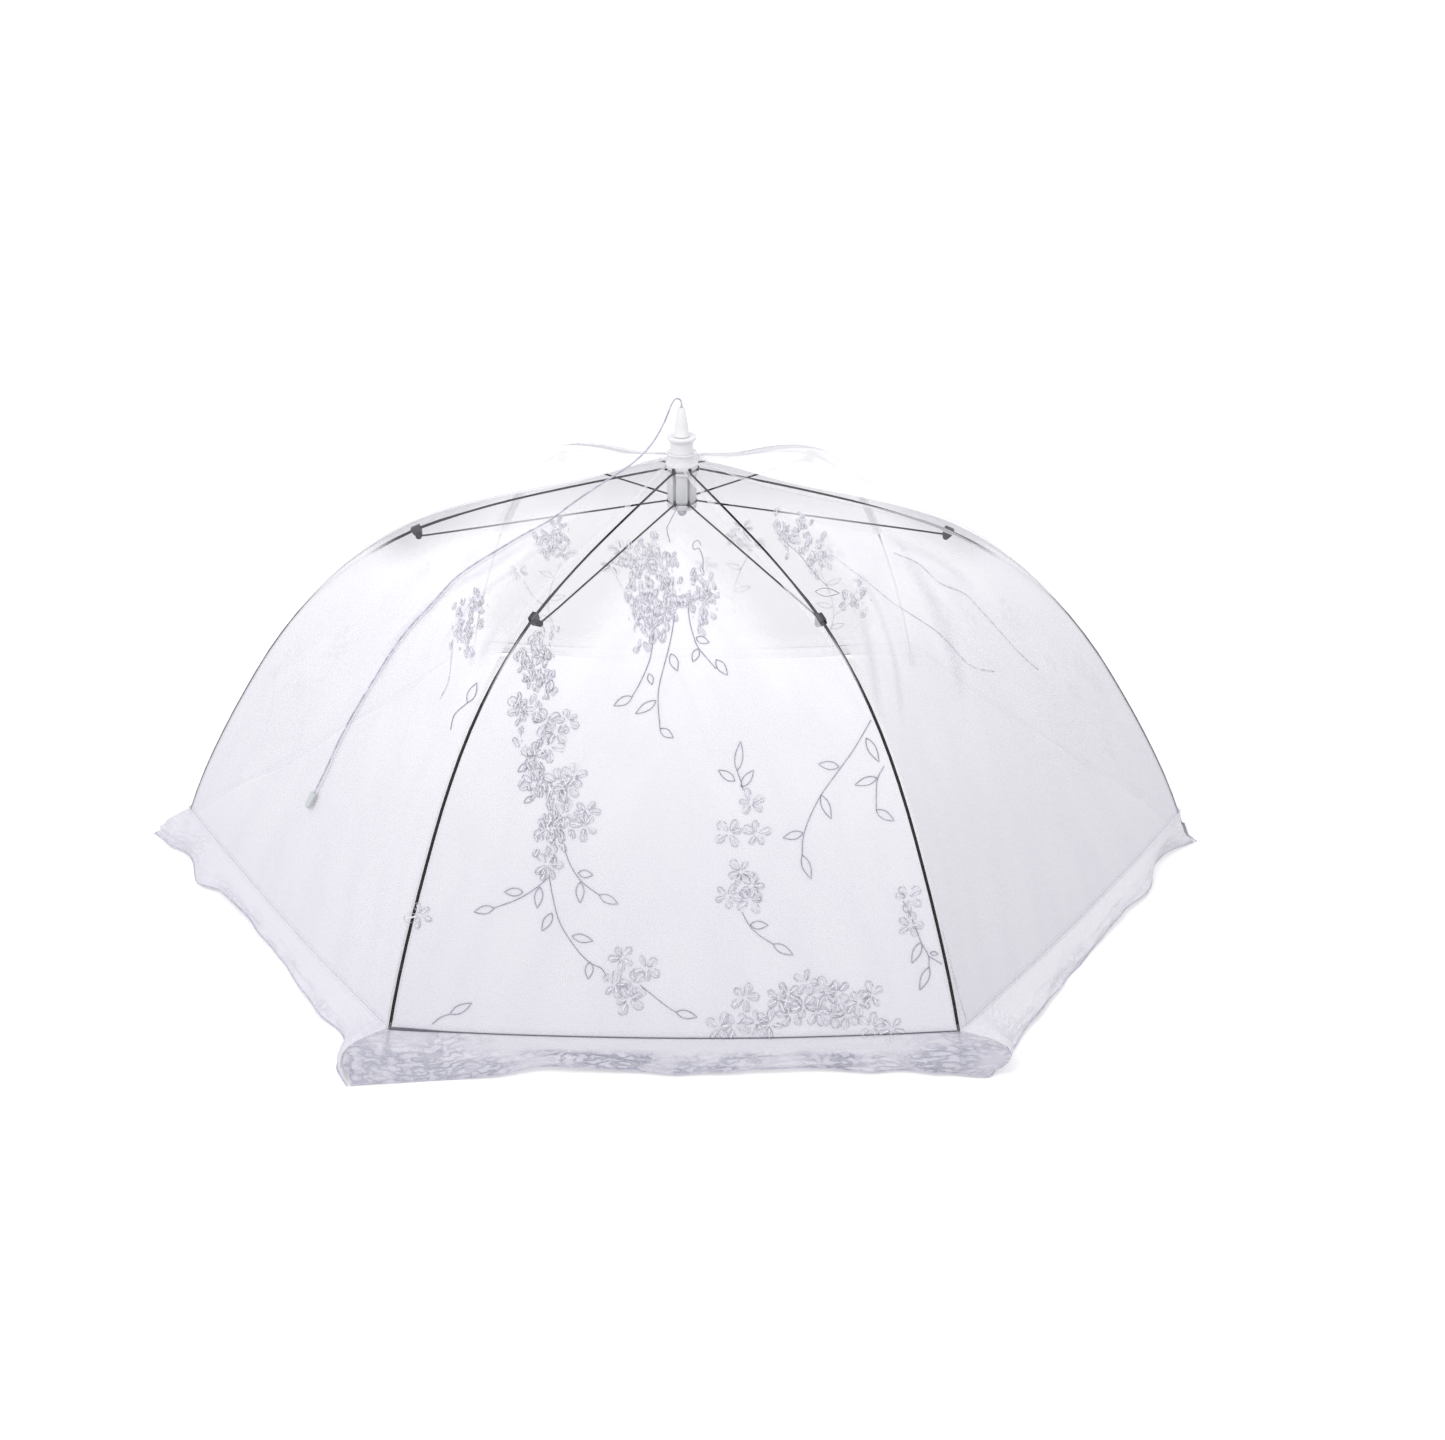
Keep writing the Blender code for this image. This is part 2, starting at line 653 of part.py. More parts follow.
def hub_mesh():
    """The hub: a crown that holds the ribs' ring wire, under a waisted neck with a lip."""
    lip = HUB_BODY_RADIUS + HUB_LIP_OVERHANG
    profile = (
        (lip, HUB_TOP),
        (lip, HUB_TOP - HUB_LIP_HEIGHT),
        (HUB_BODY_RADIUS, HUB_TOP - HUB_LIP_HEIGHT - HUB_LIP_FLARE),
        (HUB_BODY_RADIUS, HUB_CROWN_TOP),
        (HUB_CROWN_RADIUS, HUB_CROWN_TOP),
        (HUB_CROWN_RADIUS, PIVOT_HEIGHT + RING_BORE),
        (RIB_PIVOT_RADIUS - RING_BORE, PIVOT_HEIGHT + RING_BORE),
        (RIB_PIVOT_RADIUS - RING_BORE, PIVOT_HEIGHT - RING_BORE),
        (HUB_CROWN_RADIUS, PIVOT_HEIGHT - RING_BORE),
        (HUB_CROWN_RADIUS, HUB_BOTTOM),
        (HUB_BORE_RADIUS, HUB_BOTTOM),
        (HUB_BORE_RADIUS, HUB_TOP - HUB_SOCKET_DEPTH),
        (HUB_SOCKET_RADIUS, HUB_TOP - HUB_SOCKET_DEPTH),
        (HUB_SOCKET_RADIUS, HUB_TOP),
    )
    cuts = slots(
        2 * RIB_BORE,
        RIB_PIVOT_RADIUS - RIB_EYE_RADIUS - CLEARANCE,
        HUB_CROWN_RADIUS + OVERRUN,
        HUB_BOTTOM - OVERRUN,
        HUB_SLOT_TOP,
    )
    return combined("top_hub", turned("top_hub", profile), cuts)


def finial_mesh():
    """The finial: a hollow spout with a spigot in the hub's socket."""
    base = HUB_TOP + CLEARANCE
    bore = CORD_RADIUS + CLEARANCE
    spigot = HUB_SOCKET_RADIUS - CLEARANCE
    waist = FINIAL_BASE_RADIUS - (FINIAL_BASE_RADIUS - FINIAL_TOP_RADIUS) / 3
    profile = (
        (FINIAL_TOP_RADIUS, FINIAL_TOP),
        (waist, base + FINIAL_HEIGHT / 3),
        (FINIAL_BASE_RADIUS - FINIAL_FOOT / 2, base + FINIAL_FOOT),
        (FINIAL_BASE_RADIUS, base),
        (spigot, base),
        (spigot, HUB_TOP - HUB_SOCKET_DEPTH + CLEARANCE),
        (bore, HUB_TOP - HUB_SOCKET_DEPTH + CLEARANCE),
        (bore, FINIAL_TOP),
    )
    return turned("finial_cone", profile)


def runner_mesh():
    """The runner: six fingers with a groove for the struts' ring wire."""
    profile = (
        (RUNNER_RADIUS, RUNNER_TOP),
        (RUNNER_RADIUS, RUNNER_PIVOT_HEIGHT + RING_BORE),
        (RUNNER_PIVOT_RADIUS - RING_BORE, RUNNER_PIVOT_HEIGHT + RING_BORE),
        (RUNNER_PIVOT_RADIUS - RING_BORE, RUNNER_PIVOT_HEIGHT - RING_BORE),
        (RUNNER_RADIUS, RUNNER_PIVOT_HEIGHT - RING_BORE),
        (RUNNER_RADIUS, RUNNER_BOTTOM),
        (RUNNER_BORE_RADIUS, RUNNER_BOTTOM),
        (RUNNER_BORE_RADIUS, RUNNER_TOP),
    )
    cuts = slots(
        STRUT_EYE_THICKNESS + 2 * CLEARANCE,
        RUNNER_PIVOT_RADIUS - STRUT_INNER_EYE_RADIUS - CLEARANCE,
        RUNNER_RADIUS + OVERRUN,
        RUNNER_SLOT_BOTTOM,
        RUNNER_TOP + OVERRUN,
    )
    return combined("runner", turned("runner", profile), cuts)


def collar_mesh():
    """The fabric collar that is gathered round the hub over the panels' inner edges."""
    foot = canopy_line(0).z + FABRIC_THICKNESS / 2 + CLEARANCE
    inner = HUB_BODY_RADIUS + CLEARANCE
    neck = inner + COLLAR_NECK_THICKNESS
    top = foot + COLLAR_SKIRT_HEIGHT + COLLAR_NECK_HEIGHT
    profile = (
        (neck, top),
        (neck, foot + COLLAR_SKIRT_HEIGHT),
        (neck + COLLAR_SHOULDER, foot + COLLAR_SKIRT_HEIGHT / 2),
        (HUB_BODY_RADIUS + COLLAR_REACH, foot + COLLAR_SKIRT_HEIGHT / 3),
        (HUB_BODY_RADIUS + COLLAR_REACH, foot),
        (inner, foot),
        (inner, top),
    )
    return turned("top_collar", profile), neck, top


def knot_mesh():
    """The knot that stops the cord under the runner."""
    bm = bmesh.new()
    bmesh.ops.create_uvsphere(
        bm, u_segments=SMALL_TURNED_STEPS, v_segments=KNOT_ROWS, radius=KNOT_RADIUS
    )
    bm.transform(Matrix.Translation((0, 0, RUNNER_BOTTOM - CLEARANCE - KNOT_RADIUS)))
    return mesh_from(bm, "cord_knot")


def tab_mesh(route):
    """The tab on the pull cord's end: in line with the cord, flat on the canopy."""
    lean = route.direction(1)
    aside = lean.cross(Vector((route.at(1).x, route.at(1).y, 0))).normalized()
    turn = Matrix((aside, lean.cross(aside), lean)).transposed().to_4x4()
    centre = route.at(1) + lean * (TAB_LENGTH / 2 + CLEARANCE)
    bm = bmesh.new()
    bmesh.ops.create_cube(bm, size=1)
    bm.transform(Matrix.Diagonal((TAB_WIDTH, TAB_THICKNESS, TAB_LENGTH, 1)))
    bmesh.ops.bevel(
        bm, geom=bm.edges, offset=TAB_ROUND, segments=1, affect="EDGES", profile=1 / 2
    )
    bm.transform(Matrix.Translation(centre) @ turn)
    return mesh_from(bm, "pull_tab")


def add_hub(root):
    """The hub and all that stays with it."""
    add_part("top_hub", hub_mesh(), WHITE_PLASTIC, root)
    add_part("finial_cone", finial_mesh(), WHITE_PLASTIC, root)
    hub_ring = ring("hub_ring_wire", RIB_PIVOT_RADIUS, RING_WIRE_RADIUS, PIVOT_HEIGHT)
    add_part("hub_ring_wire", hub_ring, STEEL, root)
    collar, neck, top = collar_mesh()
    add_part("top_collar", collar, NET, root)
    tie = ring("collar_tie", neck + CLEARANCE + TIE_RADIUS, TIE_RADIUS, top - 2 * TIE_RADIUS)
    add_part("collar_tie", tie, CORD, root)
    inner_cord = rod(
        CORD_RADIUS, Vector((0, 0, RUNNER_BOTTOM)), Vector((0, 0, FINIAL_TOP)), SMALL_TURNED_STEPS
    )
    add_part("inner_cord", inner_cord, CORD, root)


def add_pull_cord(root):
    """The free end of the cord: over the finial, down one panel, to its tab."""
    route = Path(CORD_ROUTE)
    points = [route.at(i / (CORD_POINTS - 1)) for i in range(CORD_POINTS)]
    add_part("pull_cord", wire("pull_cord", points, CORD_RADIUS), CORD, root)
    add_part("pull_tab", tab_mesh(route), TAB, root)


def add_runner(runner):
    add_part("runner", runner_mesh(), CLEAR_PLASTIC, runner)
    hoop = ring("runner_ring_wire", RUNNER_PIVOT_RADIUS, RING_WIRE_RADIUS, RUNNER_PIVOT_HEIGHT)
    add_part("runner_ring_wire", hoop, STEEL, runner)
    add_part("cord_knot", knot_mesh(), CORD, runner)


def add_ribs(root):
    """Each rib with its clip, its cap, and the panel, tape and lace that it carries."""
    rib, clip, tip = rib_mesh(), clip_mesh(), tip_mesh()
    panel = sheet(
        "canopy_panel", PANEL_COLUMNS, PANEL_ROWS, lambda u, v: panel_point(u, v * HEM_SHARE)
    )
    tape = sheet("hem_tape", TAPE_COLUMNS, 1, tape_point)
    lace = sheet("lace_edge", LACE_FOLDS * LACE_POINTS_PER_FOLD, LACE_ROW_COUNT, lace_point)
    for i in range(SIDES):
        hinge = anchor(f"rib_hinge_{i + 1}", RIB_PIVOT, i * SIDE_ANGLE, root)
        add_part(f"rib_{i + 1}", rib, GRAPHITE, hinge)
        add_part(f"rib_clip_{i + 1}", clip, GRAPHITE, hinge)
        add_part(f"rib_tip_{i + 1}", tip, DARK_PLASTIC, hinge)
        add_part(f"canopy_panel_{i + 1}", panel, NET, hinge, HALF_SIDE)
        add_part(f"hem_tape_{i + 1}", tape, TAPE, hinge, HALF_SIDE)
        add_part(f"lace_edge_{i + 1}", lace, LACE, hinge, HALF_SIDE)


def add_struts(runner):
    """Each strut with its rivet, hinged on the runner's ring wire."""
    strut, rivet = strut_mesh(), rivet_mesh()
    for i in range(SIDES):
        hinge = anchor(f"strut_hinge_{i + 1}", STRUT_PIVOT, i * SIDE_ANGLE, runner)
        add_part(f"strut_{i + 1}", strut, GRAPHITE, hinge)
        add_part(f"strut_rivet_{i + 1}", rivet, GRAPHITE, hinge)


clear_scene()
PARTS = new_collection("food_cover")
CUTTERS = new_collection("cutters")
cover = anchor("food_cover_frame", (0, 0, 0))
slider = anchor("runner_slide", (0, 0, RUNNER_PIVOT_HEIGHT), parent=cover)
add_hub(cover)
add_pull_cord(cover)
add_runner(slider)
add_ribs(cover)
add_struts(slider)
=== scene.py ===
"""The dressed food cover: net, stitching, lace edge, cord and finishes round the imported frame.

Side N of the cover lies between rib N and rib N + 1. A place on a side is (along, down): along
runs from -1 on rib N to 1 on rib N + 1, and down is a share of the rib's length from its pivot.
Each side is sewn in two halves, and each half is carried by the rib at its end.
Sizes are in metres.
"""

import math
import random
from functools import lru_cache

import bmesh
import bpy
from mathutils import Matrix, Vector, noise


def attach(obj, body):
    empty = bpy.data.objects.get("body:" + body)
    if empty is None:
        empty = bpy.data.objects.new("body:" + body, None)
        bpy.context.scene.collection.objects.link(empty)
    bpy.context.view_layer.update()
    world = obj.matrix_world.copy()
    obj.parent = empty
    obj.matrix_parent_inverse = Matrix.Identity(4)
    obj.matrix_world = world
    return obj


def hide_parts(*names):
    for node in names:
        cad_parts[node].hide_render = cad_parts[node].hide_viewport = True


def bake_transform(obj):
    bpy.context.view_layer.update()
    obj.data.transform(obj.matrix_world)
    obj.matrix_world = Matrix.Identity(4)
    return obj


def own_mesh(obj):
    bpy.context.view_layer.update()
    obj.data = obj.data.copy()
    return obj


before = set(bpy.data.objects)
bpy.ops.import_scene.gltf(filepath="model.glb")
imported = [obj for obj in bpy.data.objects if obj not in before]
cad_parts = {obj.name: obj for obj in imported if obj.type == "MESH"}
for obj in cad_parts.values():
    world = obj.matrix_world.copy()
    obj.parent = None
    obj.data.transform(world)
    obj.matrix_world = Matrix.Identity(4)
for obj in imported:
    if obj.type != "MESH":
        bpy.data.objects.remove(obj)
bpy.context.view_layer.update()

# The photograph and the camera that took it
PHOTO_WIDTH = 1445
PHOTO_HEIGHT = 1440
PIXELS_PER_METRE = 1930  # on the front side
CAMERA_PLACE = Vector((0.0334, -1.4442, 0.7316))
CAMERA_DIRECTION = Vector((-0.00755, 0.90961, -0.41539)).normalized()
SENSOR_WIDTH = 36
LENS = 72.2
# How the place on a side that a pixel shows is searched for
SEARCH_TRIES = 14
SEARCH_STEP = 0.004
SEARCH_ALONG = 0.99
SEARCH_PAST_HEM = 0.06

# Sides, and the frame sizes that the fabric follows
SIDES = 6
SIDE_ANGLE = math.tau / SIDES
HALF_SIDE = SIDE_ANGLE / 2
LEFT, FRONT, RIGHT = 4, 5, 6  # the sides that face the camera
BACK_SIDES = (1, 2, 3)
TIP_RADIUS = 0.280
PIVOT_HEIGHT = 0.218
PIVOT_RADIUS = 0.0075
RIB_WIRE_RADIUS = 0.0008
CLEARANCE = 0.0003
CROWN_TOP = 0.2212
RIB_PROFILE_SHARES = (
    (0.000, 1.000),
    (0.064, 0.984),
    (0.195, 0.949),
    (0.330, 0.908),
    (0.461, 0.856),
    (0.525, 0.820),
    (0.585, 0.777),
    (0.642, 0.728),
    (0.695, 0.670),
    (0.740, 0.609),
    (0.782, 0.540),
    (0.820, 0.468),
    (0.889, 0.319),
    (0.951, 0.162),
    (1.000, 0.000),
)
CLIP_SHARE = 0.37
SPLINE_STEPS = 12

# Noise over a side: waves along it, waves down it, steps from side to side, and a start
BILLOW_NOISE = (1.6, 3.2, 5.3, 0)
SWAY_NOISE = (2.3, 5.1, 0, 7)
CRUMPLE_NOISE = (5, 2.4, 3.1, 40)
RIPPLE_NOISE = (7, 7, 7.7, 80)

# Canopy
HEM_HEIGHT = 0.0168
FABRIC_THICKNESS = 0.0005
CANOPY_DISH = 0.0040
HEM_SAG = 0.0052
CROWN_RISE = 0.0008
CLIP_LIFT = 0.0030
HUB_LIFT_REACH = 0.16
CLIP_LIFT_REACH = 0.24
HUB_PLEATS = 7
HUB_PLEAT_DEPTH = 0.0012
HUB_PLEAT_FADE = 0.10
BILLOW = 0.0011
BILLOW_FULL_SHARE = 0.25
PUFF_SIDE = 1  # the net stands proud of the right rib, past its clip
PUFF_HEIGHT = 0.0090
PUFF_CENTRE = (-0.80, 0.455)
PUFF_REACH = (0.45, 0.12)
CANOPY_START_SHARE = 0.012
HALF_COLUMNS = 22
CANOPY_ROWS = 96

# Rib seams, and the short net sleeves that the back ribs run in
SEAM_WIDTH = 0.0048
SEAM_TOP_WIDTH = 0.0024
SEAM_WIDEST_SHARE = 0.35
SEAM_END_SHARE = 0.46
SEAM_LIFT = 0.0005
SEAM_GAP = 0.0016
SEAM_GAPS = {1: 0.0085, 6: 0.0050}  # from the rib's middle, where a strip would hide the wire
SEAM_LIMIT = 0.9  # as a share of the half side under it
SEAM_THREAD_RADIUS = 0.00014
SEAM_COLUMNS = 3
SLEEVED_RIBS = (2, 3)
SLEEVE_WIDTH = 0.0090
SLEEVE_SHARES = (0.44, 0.68)
SLEEVE_DROP = 0.0034
SLEEVE_COLUMNS = 8
SLEEVE_ROWS = 40

# Hem and lace edge
HEM_TAPE_WIDTH = 0.0030
HEM_THREAD_RADIUS = 0.00031
HEM_BUNCH = 1.7  # the front seam's thread is thicker by its left end
HEM_BUNCH_CENTRE = 0.96
HEM_BUNCH_REACH = 0.20
LACE_RADIUS = 0.2925
LACE_HOLLOW = 0.0050
LACE_BULGE = 0.0020
LACE_GATHER = 0.0011
LACE_GATHERS = 3
LACE_CRUMPLE = 0.0016
CRUMPLE_WEIGHT = 1.2
LACE_WAVE = 0.0016
SWAY_WEIGHT = 0.6
SWAY_TURNS = 9
LACE_COLUMNS = 110
LACE_ROWS = 18
BINDING_RADIUS = 0.00026
BINDING_DOWN = 0.985
BINDING_STAND_OFF = 0.0004
# How the edge stands out at each rib: its fold half way down, and its foot
CORNER_FOLDS = {
    1: (Vector((-0.0045, -0.0050, 0)), Vector((-0.0070, -0.0040, 0))),
    2: (Vector((0.002, 0.003, 0)), Vector((0.001, 0.002, 0))),
    3: (Vector((-0.002, 0.003, 0)), Vector((-0.001, 0.002, 0))),
    4: (Vector((-0.002, 0.000, 0)), Vector((-0.002, 0.000, 0))),
    5: (Vector((-0.0100, 0, 0.0040)), Vector((-0.0076, -0.0105, 0))),
    6: (Vector((0.0155, 0, 0.0030)), Vector((0.0050, 0.0000, 0))),
}
CORNER_FOLD_REACH = 0.22
CORNER_FOOT_REACH = 0.75
# Where the edge stands out or draws in along a side: along, reach, and how far at the foot
LACE_TUCKS = {
    LEFT: (
        (-0.56, 0.14, Vector((-0.0035, -0.0045, 0))),
        (-0.76, 0.14, Vector((0.0030, 0.0035, 0))),
        (0.72, 0.18, Vector((0.0070, 0.0000, 0))),
    ),
    FRONT: (
        (-0.44, 0.12, Vector((0, 0.0030, 0))),
        (0.00, 0.60, Vector((0, -0.0035, 0))),
        (0.73, 0.12, Vector((0, 0.0035, 0))),
    ),
    RIGHT: (
        (0.76, 0.30, Vector((-0.0085, 0.0030, 0))),
        (-0.45, 0.35, Vector((0.0040, -0.0010, 0))),
    ),
}

# Stitching
THREAD_RADII = {"stem": 0.00020, "petal": 0.00021, "satin": 0.00050, "faint": 0.00020}
THREAD_STAND_OFF = 0.0004
FLOWER_DIAMETER = 0.0152
FLOWER_PETALS = 5
FLOWER_LENGTHS = (0.80, 1.15)
FLOWER_WIDTHS = (0.16, 0.26)
FLOWER_UNEVENNESS = 0.25
PETAL_POINTS = 9
PETAL_GAPS = (0, 0, 1, 2)  # points left out at an end of a loop
PETAL_EYE = 0.16  # from the heart to the loop, as a share of the petal's length
PETAL_REACH = 0.42
PETAL_BELLY = 1.15
PETAL_WAIST = 0.45
SATIN_SHARES = (0.25, 0.6, 0.85)
TUFT_LOOPS = 6
TUFT_DASHES = 3
TUFT_SPREAD = 0.0044
TUFT_HEIGHT = 0.0062
TUFT_DASH = 0.0016
TUFT_LENGTHS = (0.6, 1.2)
TUFT_WIDTHS = (0.10, 0.20)
TUFT_LEAN = 0.6
DASH_ANGLE = 1.4
LEAF_POINTS = 7
LEAF_WIDTH = 0.0042
LEAF_BLUNTNESS = 0.85
STEM_STEPS = 6
FOLD_ROWS = 24
FOLD_COLUMNS = 4

# The net gathered round the hub's neck: its line as (radius, height), from its top edge
COLLAR_LINE = (
    (0.0068, 0.2276),
    (0.0067, 0.2266),
    (0.0070, 0.2252),
    (0.0082, 0.2240),
    (0.0102, 0.2236),
    (0.0118, 0.2230),
)
COLLAR_STEPS = 6
COLLAR_COLUMNS = 176
COLLAR_PLEATS = 22
COLLAR_BUNCHES = 3  # where the pleats lie closer
COLLAR_BUNCHING = 1.5
COLLAR_PLEAT_DEPTH = 0.00035
COLLAR_TOP_DEPTH = 0.35  # as a share of the pleats' depth at its foot
COLLAR_PLEAT_RISE = 0.4
COLLAR_WIDTH = 0.07
COLLAR_HEIGHT = 0.0085

# The cords' routes, as in the part's source
CORD_RADIUS = 0.0006
CORD_ROUTE = (
    (0.0000, 0.0000, 0.2518),
    (0.0000, 0.0000, 0.2538),
    (-0.0006, -0.0003, 0.2556),
    (-0.0021, -0.0012, 0.2567),
    (-0.0039, -0.0022, 0.2560),
    (-0.0051, -0.0029, 0.2540),
    (-0.0064, -0.0037, 0.2510),
    (-0.0087, -0.0050, 0.2455),
    (-0.0130, -0.0075, 0.2378),
    (-0.0192, -0.0111, 0.2305),
    (-0.0277, -0.0160, 0.2244),
    (-0.0372, -0.0215, 0.2197),
    (-0.0463, -0.0271, 0.2153),
    (-0.0568, -0.0336, 0.2098),
    (-0.0678, -0.0413, 0.2038),
    (-0.0811, -0.0494, 0.1988),
    (-0.0929, -0.0574, 0.1940),
    (-0.1040, -0.0625, 0.1886),
    (-0.1152, -0.0665, 0.1813),
    (-0.1272, -0.0744, 0.1701),
    (-0.1389, -0.0791, 0.1583),
    (-0.1476, -0.0829, 0.1473),
    (-0.1550, -0.0871, 0.1363),
    (-0.1624, -0.0900, 0.1248),
    (-0.1692, -0.0925, 0.1136),
    (-0.1759, -0.0949, 0.1012),
    (-0.1822, -0.0983, 0.0881),
    (-0.1885, -0.1003, 0.0761),
)
CORD_RIB = 4
CORD_STRANDS = 3
CORD_TWIST = 0.0035
STRAND_SHARE = 0.47
CORD_POINTS = 600
CORD_PATH_STEPS = 200
INNER_CORD_LINE = ((0, 0, 0.1967), (0, 0, 0.215), (0, 0, 0.235), (0, 0, 0.2518))
INNER_CORD_STEPS = 60
TAB_LENGTH = 0.0090
TAB_WIDTH = 0.0052
TAB_THICKNESS = 0.0020
TAB_TAPER = 0.28
TAB_WAIST = 0.10
TAB_MIDDLE_WIDTH = 0.86
TAB_EDGE_THICKNESS = 0.8
TAB_BULGE = 0.4
TAB_CUTS = 3
TAB_SMOOTHING = 2

# Edges of the hard pieces
WELD_DISTANCE = 0.00001
EASED_EDGE = 0.00012
EASED_ANGLE = math.radians(35)

# Studio
FLOOR_SIZE = 12
FLOOR_GLOW = (0.24, 0.24, 0.24)
SKY_LIGHT = (1.0, 1.0, 1.0)
LAMP_PLACE = Vector((-0.9, -1.1, 1.7))
LAMP_SIZE = 1.2
LAMP_POWER = 12


def spline_point(a, b, c, d, t):
    """A Catmull-Rom span from b to c."""
    cubic = (3 * b - a - 3 * c + d) * t**3
    square = (2 * a - 5 * b + 4 * c - d) * t**2
    return (2 * b + (c - a) * t + square + cubic) / 2


def smooth_line(points, steps=SPLINE_STEPS):
    """Points on a smooth curve through the given ones."""
    given = [Vector(point) for point in points]
    padded = [2 * given[0] - given[1], *given, 2 * given[-1] - given[-2]]
    line = [given[0]]
    for a, b, c, d in zip(padded, padded[1:], padded[2:], padded[3:]):
        for step in range(1, steps + 1):
            line.append(spline_point(a, b, c, d, step / steps))
    return line


def sampled(place, steps):
    """Places from place(0) to place(1), at even steps."""
    return [place(i / steps) for i in range(steps + 1)]


class Path:
    """A smooth curve read by its share of length."""

    def __init__(self, points):
        self.points = smooth_line(points)
        self.lengths = [0]
        for a, b in zip(self.points, self.points[1:]):
            self.lengths.append(self.lengths[-1] + (b - a).length)
        self.length = self.lengths[-1]

    def span(self, share):
        wanted = share * self.length
        last = len(self.lengths) - 1
        i = next((i for i in range(1, last) if self.lengths[i] >= wanted), last)
        return i, (wanted - self.lengths[i - 1]) / (self.lengths[i] - self.lengths[i - 1])

    def at(self, share):
        i, part = self.span(share)
        return self.points[i - 1].lerp(self.points[i], part)

    def direction(self, share):
        i, _ = self.span(share)
        before = self.points[max(i - 2, 0)]
        after = self.points[min(i + 1, len(self.points) - 1)]
        return (after - before).normalized()

    def share_at_height(self, height):
        """Where a path that only falls comes down to a height."""
        i = next(i for i, point in enumerate(self.points) if point.z <= height)
        above, below = self.points[i - 1], self.points[i]
        part = (above.z - height) / (above.z - below.z)
        return (self.lengths[i - 1] + part * (self.lengths[i] - self.lengths[i - 1])) / self.length


REACH = TIP_RADIUS - PIVOT_RADIUS
RIB = Path((PIVOT_RADIUS + out * REACH, 0, up * PIVOT_HEIGHT) for out, up in RIB_PROFILE_SHARES)
HEM_SHARE = RIB.share_at_height(HEM_HEIGHT)
CANOPY_SPAN = HEM_SHARE - CANOPY_START_SHARE


def bump(value, centre, reach):
    """One at the centre and nothing past the reach, with a smooth rise between."""
    distance = min(abs(value - centre) / reach, 1)
    return (1 + math.cos(math.pi * distance)) / 2


def lumps(pattern, along, down, side):
    """Smooth noise over a side, in one of the patterns above."""
    waves_along, waves_down, apart, start = pattern
    return noise.noise(Vector((waves_along * along, waves_down * down, apart * side + start)))


@lru_cache(maxsize=None)
def canopy_line(share):
    """The fabric over a rib, in the rib's plane: higher over the hub and the clip."""
    half_fabric = FABRIC_THICKNESS / 2
    over_wire = (RIB_WIRE_RADIUS + CLEARANCE) / math.cos(HALF_SIDE) + half_fabric
    over_crown = CROWN_TOP - PIVOT_HEIGHT + CLEARANCE + half_fabric + CROWN_RISE
    lift = over_wire + (over_crown - over_wire) * bump(share, 0, HUB_LIFT_REACH)
    lift += CLIP_LIFT * bump(share, CLIP_SHARE, CLIP_LIFT_REACH)
    direction = RIB.direction(share)
    out = Vector((-direction.z, 0, direction.x))
    return RIB.at(share) + lift * out, out


def half_width(share):
    """Half of the net's width from rib to rib."""
    over_rib, _ = canopy_line(share)
    return over_rib.x * math.sin(HALF_SIDE) - CLEARANCE / math.cos(HALF_SIDE)


def share_down(v):
    return CANOPY_START_SHARE + CANOPY_SPAN * v


def rib_at(side, end):
    """The rib at the end of a side: its own towards -1, the next one towards 1."""
    return side if end < 0 else side % SIDES + 1


def rib_angle(rib):
    return (rib - 1) * SIDE_ANGLE


def side_angle(side):
    return (side - 1) * SIDE_ANGLE + HALF_SIDE


def turned(point, angle):
    return Matrix.Rotation(angle, 3, "Z") @ point


def folds(side, along, share):
    """How far the net stands out from a smooth ruled side."""
    free = 1 - along**2
    pleat = math.cos(math.pi * HUB_PLEATS * along) * math.exp(-share / HUB_PLEAT_FADE)
    billow = lumps(BILLOW_NOISE, along, share, side)
    stand = HUB_PLEAT_DEPTH * pleat + BILLOW * billow * min(share / BILLOW_FULL_SHARE, 1)
    if side == PUFF_SIDE:
        across, down = (
            bump(value, centre, reach)
            for value, centre, reach in zip((along, share), PUFF_CENTRE, PUFF_REACH)
        )
        stand += PUFF_HEIGHT * across * down
    return free * stand


def canopy_point(side, along, share, lift=0):
    """A point of the net, or one that stands off it by the lift."""
    over_rib, out = canopy_line(share)
    free = 1 - along**2
    x = over_rib.x * math.cos(HALF_SIDE) - CANOPY_DISH * math.sin(math.pi * share) * free
    z = over_rib.z - HEM_SAG * (share / HEM_SHARE) ** 3 * free
    stand = folds(side, along, share) + lift
    point = Vector((x, along * half_width(share), z))
    point += stand * Vector((out.x, 0, out.z))
    return turned(point, side_angle(side))


